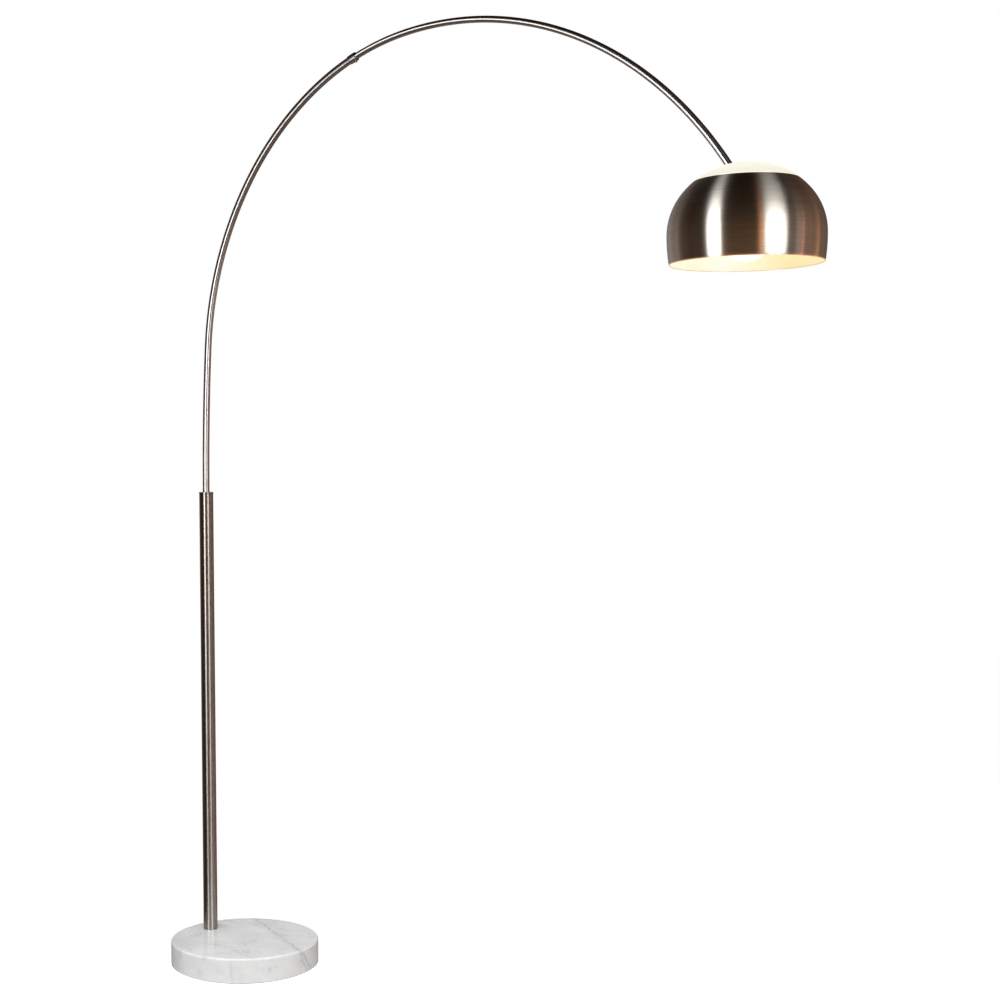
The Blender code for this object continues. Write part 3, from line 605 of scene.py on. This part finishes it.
# painted shade: the pole and arm take darker copies of the brushed steel colour, darkened so their
# reflections match this light
POLE_STEEL = brushed("pole_steel", (0.42, 0.38, 0.345), 0.335, 0.968, (POLE_X, 0.0), depth=0.04).material
ARM_STEEL = brushed("arm_steel", (0.475, 0.44, 0.42), 0.287, 0.778, uv=True, depth=0.02).material
BOWL_STEEL = bowl_material()
ENAMEL = enamel_material()
OPAL = opal_material()
GLOBE = lit_material("opal_glass_lit", (0.95, 0.92, 0.86), 0.20, (1.0, 0.95, 0.84), 1.25)
FELT = moulded("black_felt", (0.035, 0.035, 0.038), 0.92, 1500.0)
NYLON = moulded("dark_nylon", (0.06, 0.06, 0.06), 0.55)
HOLDER = moulded("holder_black", (0.035, 0.035, 0.035), 0.38)
PORCELAIN = moulded("holder_porcelain", (0.84, 0.83, 0.79), 0.28)
SHEATH = moulded("wire_sheath_cream", (0.78, 0.75, 0.68), 0.5)
ZINC = plain_metal("zinc_plate", (0.62, 0.62, 0.60), 0.36)
BRASS = plain_metal("turned_brass", (0.78, 0.57, 0.28), 0.30)

CARRIED = {
    "base_pad": FELT, "base_washer": ZINC, "base_nut": ZINC, "base_rod": ZINC, "inlet_gland": HOLDER,
    "pole_foot_plug": ZINC, "pole_lower_bush": NYLON, "wire_pole": SHEATH, "arm_foot_plug": BRASS,
    "clamp_screw": ZINC, "wire_lower_arm": SHEATH, "tail_ring": NYLON, "arm_end_sleeve": ZINC,
    "pivot_screw_front": ZINC, "pivot_screw_back": ZINC, "wire_upper_arm": SHEATH, "shade_bridge": ZINC,
    "shade_yoke": ZINC, "holder_nipple": ZINC, "holder_nut": ZINC, "holder_body": HOLDER,
    "holder_ring": HOLDER, "holder_insert": PORCELAIN, "holder_screw_shell": BRASS,
    "holder_contact": BRASS, "bulb_cap": ZINC, "bulb_contact": BRASS, "wire_head": SHEATH,
}
for node_name, material in CARRIED.items():
    node_mesh = nodes[node_name].data
    node_mesh.materials.clear()
    node_mesh.materials.append(material)

# -------------------------------------------------------------- base and pole
edge = 0.0045
foot = 0.0015
slab_profile = [(0.0, BASE_TOP_Z), (0.08, BASE_TOP_Z), (0.13, BASE_TOP_Z)]
slab_profile += arc((BASE_RADIUS - edge, BASE_TOP_Z - edge), edge, 0.0, math.pi / 2.0, 10)
slab_profile += [(BASE_RADIUS, BASE_TOP_Z - 0.02), (BASE_RADIUS, slab_low.z + 0.015)]
slab_profile += arc((BASE_RADIUS - foot, slab_low.z + foot), foot, math.pi / 2.0, math.pi, 4)
slab_profile += [(0.08, slab_low.z), (0.0, slab_low.z)]
finish_mesh("slab_fine", lathe_mesh("slab_fine", slab_profile, 192), MARBLE, "stand", ["base_slab"])

upright = Matrix.Translation((POLE_X, 0.0, 0.0))
wall = 0.0015
pole_profile = [(POLE_RADIUS - wall, pole_high.z), (POLE_RADIUS - 0.0003, pole_high.z)]
pole_profile += [(POLE_RADIUS, pole_high.z - 0.0003)]
for i in range(1, 12):
    pole_profile.append((POLE_RADIUS, pole_high.z + (pole_low.z - pole_high.z) * i / 12.0))
pole_profile += [(POLE_RADIUS, pole_low.z + 0.0003), (POLE_RADIUS - 0.0003, pole_low.z)]
pole_profile += [(POLE_RADIUS - wall, pole_low.z)]
finish_mesh("pole_fine", lathe_mesh("pole_fine", pole_profile, 96, upright, True), POLE_STEEL, "stand",
            ["pole_tube"])

CAP_RADIUS = (cap_high.x - cap_low.x) / 2.0
BEARING_BORE = 0.0082
ring_low = POLE_TOP_Z - 0.0040
round_off = 0.0007
ring_profile = [(BEARING_BORE, POLE_TOP_Z - 0.0003), (BEARING_BORE + 0.0003, POLE_TOP_Z)]
ring_profile += arc((CAP_RADIUS - round_off, POLE_TOP_Z - round_off), round_off, 0.0, math.pi / 2.0, 5)
ring_profile += [(CAP_RADIUS, ring_low), (0.0141, ring_low), (0.0141, cap_low.z), (BEARING_BORE, cap_low.z)]
finish_mesh("pole_cap_fine", lathe_mesh("pole_cap_fine", ring_profile, 96, upright, True), POLE_STEEL,
            "stand", ["pole_cap"])

# ------------------------------------------------------------------------ arm
finish_mesh(
    "lower_tube_fine",
    tube_mesh("lower_tube_fine", -SPIGOT_LENGTH, COLLAR_ALONG + 0.0005, LOWER_RADIUS, LOWER_BORE, 40, 0.010),
    ARM_STEEL, "lower_arm", ["lower_arc_tube"])
finish_mesh(
    "upper_tube_fine",
    tube_mesh("upper_tube_fine", COLLAR_ALONG - TAIL_OVERLAP, PIVOT_ALONG - END_GAP,
              UPPER_RADIUS, UPPER_BORE, 36, 0.010),
    ARM_STEEL, "upper_arm", ["upper_arc_tube"])

COLLAR_RADIUS = 0.0093
COLLAR_BORE = 0.0071
COLLAR_SEAT_BORE = 0.0082
half_length = 0.0095
collar_profile = [(COLLAR_BORE, half_length - 0.0003), (COLLAR_BORE + 0.0003, half_length)]
collar_profile += arc((COLLAR_RADIUS - 0.0008, half_length - 0.0008), 0.0008, 0.0, math.pi / 2.0, 5)
collar_profile += arc((COLLAR_RADIUS - 0.0006, 0.0006 - half_length), 0.0006, math.pi / 2.0, math.pi, 4)
collar_profile += [(COLLAR_SEAT_BORE, -half_length), (COLLAR_SEAT_BORE, 0.0010), (COLLAR_BORE, 0.0010)]
finish_mesh(
    "collar_fine", lathe_mesh("collar_fine", collar_profile, 64, arm_frame(COLLAR_ALONG), True),
    ARM_STEEL, "lower_arm", ["clamp_collar"])

# ---------------------------------------------------------------------- shade
DOME_RADIUS = 0.1392
DOME_CENTRE = 0.0339
SHOULDER_ANGLE = math.radians(50.8)
WAIST_RADIUS = 0.1336
RIM_RADIUS = 0.1299
LIP_ANGLE = math.radians(39.9)
SHELL_WALL = 0.0010
LEDGE_RADIUS = 0.0800
LEDGE_Z = 0.1372
shade_place = Matrix.Translation((SHADE_X, 0.0, RIM_Z))


def bowl_profile(inset, top_angle, rim_height):
    """Side of the bowl, or a parallel line inside it, top to bottom."""
    join_r = DOME_RADIUS * math.sin(SHOULDER_ANGLE)
    join_z = DOME_CENTRE + DOME_RADIUS * math.cos(SHOULDER_ANGLE)
    side_radius = (WAIST_RADIUS - join_r) / (1.0 - math.sin(SHOULDER_ANGLE))
    waist_z = join_z - side_radius * math.cos(SHOULDER_ANGLE)
    skirt_radius = waist_z ** 2 / (2.0 * (WAIST_RADIUS - RIM_RADIUS))
    skirt_turn = math.asin((waist_z - rim_height) / skirt_radius)
    points = arc((0.0, DOME_CENTRE), DOME_RADIUS - inset, top_angle, SHOULDER_ANGLE, 8)
    points += arc((WAIST_RADIUS - side_radius, waist_z), side_radius - inset,
                  SHOULDER_ANGLE, math.pi / 2.0, 18)[1:]
    points += arc((WAIST_RADIUS - skirt_radius, waist_z), skirt_radius - inset,
                  math.pi / 2.0, math.pi / 2.0 + skirt_turn, 10)[1:]
    return points


ledge_wall = 0.0010
inner_top = math.acos((LEDGE_Z - ledge_wall - DOME_CENTRE) / (DOME_RADIUS - SHELL_WALL))
outer_side = bowl_profile(0.0, LIP_ANGLE, 0.0)
inner_side = bowl_profile(SHELL_WALL, inner_top, 0.0)
lip_r, lip_z = outer_side[0]
shell = [(lip_r - 0.0006, lip_z - 0.0002)] + outer_side[:-1]
shell += [(RIM_RADIUS - 0.00003, 0.0004), (RIM_RADIUS - 0.0003, 0.0), (RIM_RADIUS - 0.0007, 0.0)]
shell += [(RIM_RADIUS - SHELL_WALL, 0.0004)] + inner_side[:-1][::-1]
shell += [(LEDGE_RADIUS, LEDGE_Z - ledge_wall), (LEDGE_RADIUS, LEDGE_Z), (lip_r - 0.0009, LEDGE_Z)]
finish_mesh("bowl_fine", lathe_mesh("bowl_fine", shell, 192, shade_place, True), BOWL_STEEL, "shade",
            ["bowl_shell"])

liner_top = 0.1338
liner_wall = 0.0006
face = SHELL_WALL + 0.0005
liner_outer = bowl_profile(face, math.acos((liner_top - DOME_CENTRE) / (DOME_RADIUS - face)), 0.0008)
liner_angle = math.acos((liner_top - liner_wall - DOME_CENTRE) / (DOME_RADIUS - face - liner_wall))
liner_inner = bowl_profile(face + liner_wall, liner_angle, 0.0008)
liner = liner_outer + liner_inner[::-1] + [(0.0770, liner_top - liner_wall), (0.0770, liner_top)]
finish_mesh("liner_fine", lathe_mesh("liner_fine", liner, 160, shade_place, True), ENAMEL, "shade",
            ["bowl_liner"])

OPAL_EDGE_RADIUS = 0.0880
OPAL_EDGE_Z = 0.1429
OPAL_APEX_Z = 0.1720
OPAL_WALL = 0.0025
rise = OPAL_APEX_Z - OPAL_EDGE_Z
sphere = (OPAL_EDGE_RADIUS ** 2 + rise ** 2) / (2.0 * rise)
opal_centre = (0.0, OPAL_APEX_Z - sphere)
opal_angle = math.asin(OPAL_EDGE_RADIUS / sphere)
opal_inner = math.asin((OPAL_EDGE_RADIUS - OPAL_WALL) / (sphere - OPAL_WALL))
opal_low = LEDGE_Z + 0.0004
opal = arc(opal_centre, sphere, 0.0, opal_angle - 0.006, 30)
opal += arc((OPAL_EDGE_RADIUS - 0.0008, OPAL_EDGE_Z - 0.0006), 0.0008, opal_angle, math.pi / 2.0, 4)
opal += [(OPAL_EDGE_RADIUS, opal_low), (OPAL_EDGE_RADIUS - OPAL_WALL, opal_low)]
opal += arc(opal_centre, sphere - OPAL_WALL, opal_inner, 0.0, 24)
# slot that clears the arm tube while the shade tilts
TILT_LIMIT = math.radians(joints["shade_tilt"]["range_deg"][1])
SLOT_SIDE = UPPER_RADIUS + 0.0010
slot_verts = []
for depth in (0.010, 0.045):
    reach = SLOT_SIDE / math.cos(TILT_LIMIT) + depth * math.tan(TILT_LIMIT)
    for side_x, side_y in ((-1.0, -1.0), (1.0, -1.0), (1.0, 1.0), (-1.0, 1.0)):
        spot = Vector((side_x * reach, side_y * SLOT_SIDE, -depth))
        slot_verts.append(arm_frame(PIVOT_ALONG) @ spot)
slot_mesh = bpy.data.meshes.new("slot_cutter")
slot_mesh.from_pydata(slot_verts, [], [
    (0, 1, 2, 3), (7, 6, 5, 4), (0, 4, 5, 1), (1, 5, 6, 2), (2, 6, 7, 3), (3, 7, 4, 0)])


def cut_away(mesh, cutter_mesh):
    """Copy of a mesh with another solid taken out of it."""
    body = bpy.data.objects.new("body_to_cut", mesh)
    cutter = bpy.data.objects.new("cutter", cutter_mesh)
    for obj in (body, cutter):
        bpy.context.scene.collection.objects.link(obj)
    modifier = body.modifiers.new("cut", "BOOLEAN")
    modifier.operation = "DIFFERENCE"
    modifier.solver = "EXACT"
    modifier.object = cutter
    graph = bpy.context.evaluated_depsgraph_get()
    result = bpy.data.meshes.new_from_object(body.evaluated_get(graph))
    for obj in (body, cutter):
        bpy.data.objects.remove(obj)
    return result


opal_mesh = cut_away(lathe_mesh("opal_fine", opal, 160, shade_place), slot_mesh)
finish_mesh("opal_fine", opal_mesh, OPAL, "shade", ["opal_cap"])

# ----------------------------------------------------------------------- bulb
GLOBE_RADIUS = 0.0440
GLOBE_CENTRE = 0.0470
NECK_RADIUS = 0.0140
GLASS = 0.0010
globe = [(0.0120, 0.1000), (0.0120, 0.0925), (0.0132, 0.0905)]
globe += arc((0.0, GLOBE_CENTRE), GLOBE_RADIUS, math.asin(NECK_RADIUS / GLOBE_RADIUS), math.pi, 40)
globe += arc((0.0, GLOBE_CENTRE), GLOBE_RADIUS - GLASS, math.pi,
             math.asin(0.0130 / (GLOBE_RADIUS - GLASS)), 36)
globe += [(0.0121, 0.0898), (0.0110, 0.0920), (0.0110, 0.1000)]
globe_mesh = lathe_mesh("globe_fine", globe, 96, shade_place, True)
finish_mesh("globe_fine", globe_mesh, GLOBE, "shade", ["bulb_globe"])

# ------------------------------------------------------------------ world
# room colour by bearing in degrees, seen only in reflections
ROOM_AROUND = [
    (-180.0, (0.26, 0.25, 0.25)),
    (-170.0, (0.10, 0.08, 0.07)),
    (-150.0, (0.05, 0.035, 0.025)),
    (-120.0, (0.03, 0.020, 0.013)),
    (-40.2, (0.03, 0.020, 0.013)),
    (-38.7, (3.0, 1.55, 0.62)),
    (-37.2, (0.2, 0.16, 0.13)),
    (0.0, (0.12, 0.105, 0.10)),
    (20.0, (0.31, 0.29, 0.28)),
    (40.0, (0.24, 0.185, 0.165)),
    (60.0, (0.26, 0.20, 0.165)),
    (80.0, (0.21, 0.155, 0.12)),
    (100.0, (0.12, 0.105, 0.10)),
    (120.0, (0.20, 0.20, 0.21)),
    (140.0, (0.31, 0.31, 0.33)),
    (178.0, (0.27, 0.27, 0.28)),
]
# how much of it shows from straight down (0) to straight up (1)
ROOM_LEVEL = [
    (0.0, (0.30, 0.30, 0.30)),
    (0.42, (1.0, 1.0, 1.0)),
    (0.56, (1.0, 1.0, 1.0)),
    (0.67, (0.55, 0.55, 0.55)),
    (0.78, (0.16, 0.16, 0.16)),
    (0.90, (0.02, 0.02, 0.02)),
]
# small warm lamps below eye level
ROOM_SPARKS = [
    (-180.0, (0.0, 0.0, 0.0)),
    (15.5, (0.0, 0.0, 0.0)),
    (18.0, (1.0, 0.92, 0.90)),
    (20.5, (0.0, 0.0, 0.0)),
    (25.5, (0.0, 0.0, 0.0)),
    (28.0, (3.6, 2.1, 1.5)),
    (30.5, (0.1, 0.05, 0.03)),
    (59.5, (0.1, 0.05, 0.03)),
    (63.0, (2.2, 1.05, 0.42)),
    (67.0, (0.0, 0.0, 0.0)),
    (179.0, (0.0, 0.0, 0.0)),
]
SPARK_LEVEL = [
    (0.24, (0.0, 0.0, 0.0)),
    (0.30, (1.0, 1.0, 1.0)),
    (0.44, (1.0, 1.0, 1.0)),
    (0.50, (0.0, 0.0, 0.0)),
]
# dim light added from every side
ROOM_OVERALL = [
    (0.0, (0.085, 0.068, 0.060)),
    (0.40, (0.045, 0.034, 0.028)),
    (0.55, (0.008, 0.006, 0.005)),
    (1.0, (0.003, 0.003, 0.003)),
]


def build_world():
    """White to the camera, a dim studio to everything else."""
    world = bpy.data.worlds.new("studio")
    bpy.context.scene.world = world
    world.use_nodes = True
    tree = world.node_tree
    tree.nodes.clear()
    out = tree.nodes.new("ShaderNodeOutputWorld")
    path = tree.nodes.new("ShaderNodeLightPath")
    seen = tree.nodes.new("ShaderNodeBackground")
    seen.inputs["Color"].default_value = (1.0, 1.0, 1.0, 1.0)
    seen.inputs["Strength"].default_value = 1.0
    room = tree.nodes.new("ShaderNodeBackground")
    choose = tree.nodes.new("ShaderNodeMixShader")
    tree.links.new(path.outputs["Is Camera Ray"], choose.inputs["Fac"])
    tree.links.new(room.outputs[0], choose.inputs[1])
    tree.links.new(seen.outputs[0], choose.inputs[2])
    tree.links.new(choose.outputs[0], out.inputs["Surface"])

    def add(kind, **settings):
        made = tree.nodes.new(kind)
        for key, value in settings.items():
            setattr(made, key, value)
        return made

    def ramp(source, stops, interpolation="EASE"):
        made = add("ShaderNodeValToRGB")
        made.color_ramp.interpolation = interpolation
        elements = made.color_ramp.elements
        while len(elements) < len(stops):
            elements.new(0.5)
        for element, (spot, colour) in zip(elements, stops):
            element.position = spot
            element.color = (*colour, 1.0)
        tree.links.new(source, made.inputs["Fac"])
        return made.outputs["Color"]

    def blend(kind, a, b):
        made = add("ShaderNodeMix", data_type="RGBA", blend_type=kind)
        made.inputs["Factor"].default_value = 1.0
        tree.links.new(a, made.inputs["A"])
        tree.links.new(b, made.inputs["B"])
        return made.outputs["Result"]

    coords = add("ShaderNodeTexCoord")
    split = add("ShaderNodeSeparateXYZ")
    tree.links.new(coords.outputs["Generated"], split.inputs[0])
    bearing = add("ShaderNodeMath", operation="ARCTAN2")
    tree.links.new(split.outputs["Y"], bearing.inputs[0])
    tree.links.new(split.outputs["X"], bearing.inputs[1])
    unit = add("ShaderNodeMapRange")
    unit.inputs["From Min"].default_value = -math.pi
    unit.inputs["From Max"].default_value = math.pi
    tree.links.new(bearing.outputs[0], unit.inputs["Value"])
    height = add("ShaderNodeMapRange")
    height.inputs["From Min"].default_value = -1.0
    height.inputs["From Max"].default_value = 1.0
    tree.links.new(split.outputs["Z"], height.inputs["Value"])

    around = ramp(unit.outputs[0], [((degrees + 180.0) / 360.0, colour) for degrees, colour in ROOM_AROUND])
    sparks = ramp(unit.outputs[0], [((degrees + 180.0) / 360.0, colour) for degrees, colour in ROOM_SPARKS])
    spark_level = ramp(height.outputs[0], SPARK_LEVEL, "LINEAR")
    level = ramp(height.outputs[0], ROOM_LEVEL, "LINEAR")
    overall = ramp(height.outputs[0], ROOM_OVERALL, "LINEAR")
    streaks = add("ShaderNodeTexNoise", noise_dimensions="1D")
    streaks.inputs["Scale"].default_value = 62.0
    streaks.inputs["Detail"].default_value = 2.0
    tree.links.new(unit.outputs[0], streaks.inputs["W"])
    lines = ramp(streaks.outputs["Fac"], [(0.34, (0.55, 0.55, 0.60)), (0.52, (1.0, 1.0, 1.0)),
                                          (0.66, (1.8, 1.5, 1.3))], "LINEAR")
    lit = blend("MULTIPLY", blend("MULTIPLY", around, lines), level)
    lit = blend("ADD", lit, blend("MULTIPLY", sparks, spark_level))
    tree.links.new(blend("ADD", lit, overall), room.inputs["Color"])
    room.inputs["Strength"].default_value = 1.0
    world.cycles_visibility.diffuse = False


build_world()


def area_light(name, place, target, size, radiance, colour, glossy=True, diffuse=True, oval=False):
    """Flat light that faces a point and shows a set brightness, never seen by the camera."""
    width, height = size
    area = width * height
    if oval:
        area *= math.pi / 4.0
    data = bpy.data.lights.new(name, "AREA")
    data.shape = "ELLIPSE" if oval else "RECTANGLE"
    data.size = width
    data.size_y = height
    data.energy = radiance * math.pi * area
    data.color = colour
    obj = bpy.data.objects.new(name, data)
    bpy.context.scene.collection.objects.link(obj)
    obj.location = place
    direction = Vector(target) - Vector(place)
    obj.rotation_euler = direction.to_track_quat("-Z", "Y").to_euler()
    obj.visible_camera = False
    obj.visible_glossy = glossy
    obj.visible_diffuse = diffuse
    return obj


# ------------------------------------------------------------------ floor
floor_mesh = bpy.data.meshes.new("floor")
FLOOR_HALF = 7.0
FLOOR_Z = -0.0005
floor_corners = ((-1.0, -1.0), (1.0, -1.0), (1.0, 1.0), (-1.0, 1.0))
floor_mesh.from_pydata([(x * FLOOR_HALF, y * FLOOR_HALF, FLOOR_Z) for x, y in floor_corners],
                       [], [(0, 1, 2, 3)])
floor = bpy.data.objects.new("floor", floor_mesh)
bpy.context.scene.collection.objects.link(floor)
paint = Paint("pale_floor")
paint.set(Roughness=0.9, Emission_Strength=1.0, Emission_Color=(1.0, 1.0, 1.0, 1.0))
cloud = paint.noise(paint.position(), 3.0, 2.0, 0.5)
paint.link(paint.ramp(cloud, [(0.3, (0.895, 0.895, 0.895)), (0.7, (0.905, 0.905, 0.905))]),
           paint.shader.inputs["Base Color"])
floor_mesh.materials.append(paint.material)
floor.visible_glossy = False

# --------------------------------------------------------------------- lights
UPRIGHT_STEEL = ["pole_fine", "pole_cap_fine", "lower_tube_fine", "upper_tube_fine", "collar_fine"]
STONE = ["slab_fine", "base_pad"]
EVERYTHING = sorted(obj.name for obj in bpy.data.objects if obj.type == "MESH")


def shine_on(light, names):
    """Limits a light to the named objects."""
    group = bpy.data.collections.new(light.name + "_on")
    for name in names:
        group.objects.link(bpy.data.objects[name])
    light.light_linking.receiver_collection = group


WHITE = (1.0, 1.0, 1.0)
COOL = (0.82, 0.92, 1.0)
NEUTRAL = (0.88, 0.93, 0.98)
SOFT_WHITE = (1.0, 0.985, 0.97)
WARM = (1.0, 0.60, 0.33)

# tall oval softboxes whose reflections make the long highlights
for suffix, left_level, right_level, tint, names in (
    ("", 8.8, 7.0, COOL, [name for name in EVERYTHING if name not in UPRIGHT_STEEL]),
    ("_upright", 8.1, 6.9, NEUTRAL, UPRIGHT_STEEL),
):
    left_box = area_light("softbox_left" + suffix, (0.57, -2.36, 1.66), (0.30, 0.0, 1.66), (0.98, 2.1),
                          left_level, tint, diffuse=False, oval=True)
    shine_on(left_box, names)
    right_box = area_light("softbox_right" + suffix, (4.135, -0.955, 1.66), (0.6, 0.0, 1.66), (1.86, 2.1),
                           right_level, tint, diffuse=False, oval=True)
    shine_on(right_box, names)
# wide dim panels that draw one line along each half of the arm
upper_panel = area_light("upper_arm_panel", (-1.40, -2.45, 2.10), (0.4, 0.0, 1.9), (3.0, 1.10),
                         3.7, SOFT_WHITE, diffuse=False)
shine_on(upper_panel, ["upper_tube_fine"])
lower_panel = area_light("lower_arm_panel", (-0.35, -2.40, 0.40), (0.05, 0.0, 1.6), (2.0, 0.65),
                         4.0, SOFT_WHITE, diffuse=False)
shine_on(lower_panel, ["lower_tube_fine", "collar_fine"])
# dim warm surface below, seen in the underside of the bowl
bounce = area_light("warm_bounce", (2.20, -1.90, 0.25), (2.20, -1.90, 2.0), (3.0, 3.0),
                    0.21, WARM, diffuse=False)
shine_on(bounce, ["bowl_fine"])
# light on the stone, from above, from the front and off the floor
shine_on(floor, STONE)
overhead = area_light("overhead", (0.4, -0.6, 4.0), (0.4, 0.0, 0.0), (4.0, 4.0), 4.5, WHITE, glossy=False)
shine_on(overhead, STONE)
stone_fill = area_light("stone_fill", (2.9, -3.0, 1.6), (0.0, 0.0, 0.1), (4.5, 3.0), 1.6, WHITE, glossy=False)
shine_on(stone_fill, STONE)
# weak light on everything else
area_light("room_fill", (2.6, -3.2, 1.6), (0.3, 0.0, 0.7), (3.0, 2.4), 0.30, WHITE, glossy=False)

# ------------------------------------------------------------------ camera
CAMERA_POINT = Vector((2.7866, -2.5954, 1.1313))
HEADING = Vector((-0.6982, 0.7159, 0.0))
PITCH = 0.0249
ROLL = 0.0085
LENS_MM = 61.39
SENSOR_MM = 36.0
SHIFT_X = 0.1775
camera_data = bpy.data.cameras.new("camera")
camera_data.lens = LENS_MM
camera_data.sensor_width = SENSOR_MM
camera_data.shift_x = SHIFT_X
camera_data.clip_start = 0.05
camera = bpy.data.objects.new("camera", camera_data)
bpy.context.scene.collection.objects.link(camera)
forward = Vector((HEADING.x * math.cos(PITCH), HEADING.y * math.cos(PITCH), -math.sin(PITCH)))
aim = forward.to_track_quat("-Z", "Y").to_matrix().to_4x4()
camera.matrix_world = Matrix.Translation(CAMERA_POINT) @ aim @ Matrix.Rotation(-ROLL, 4, "Z")
bpy.context.scene.camera = camera
bpy.context.scene.view_settings.view_transform = "Standard"
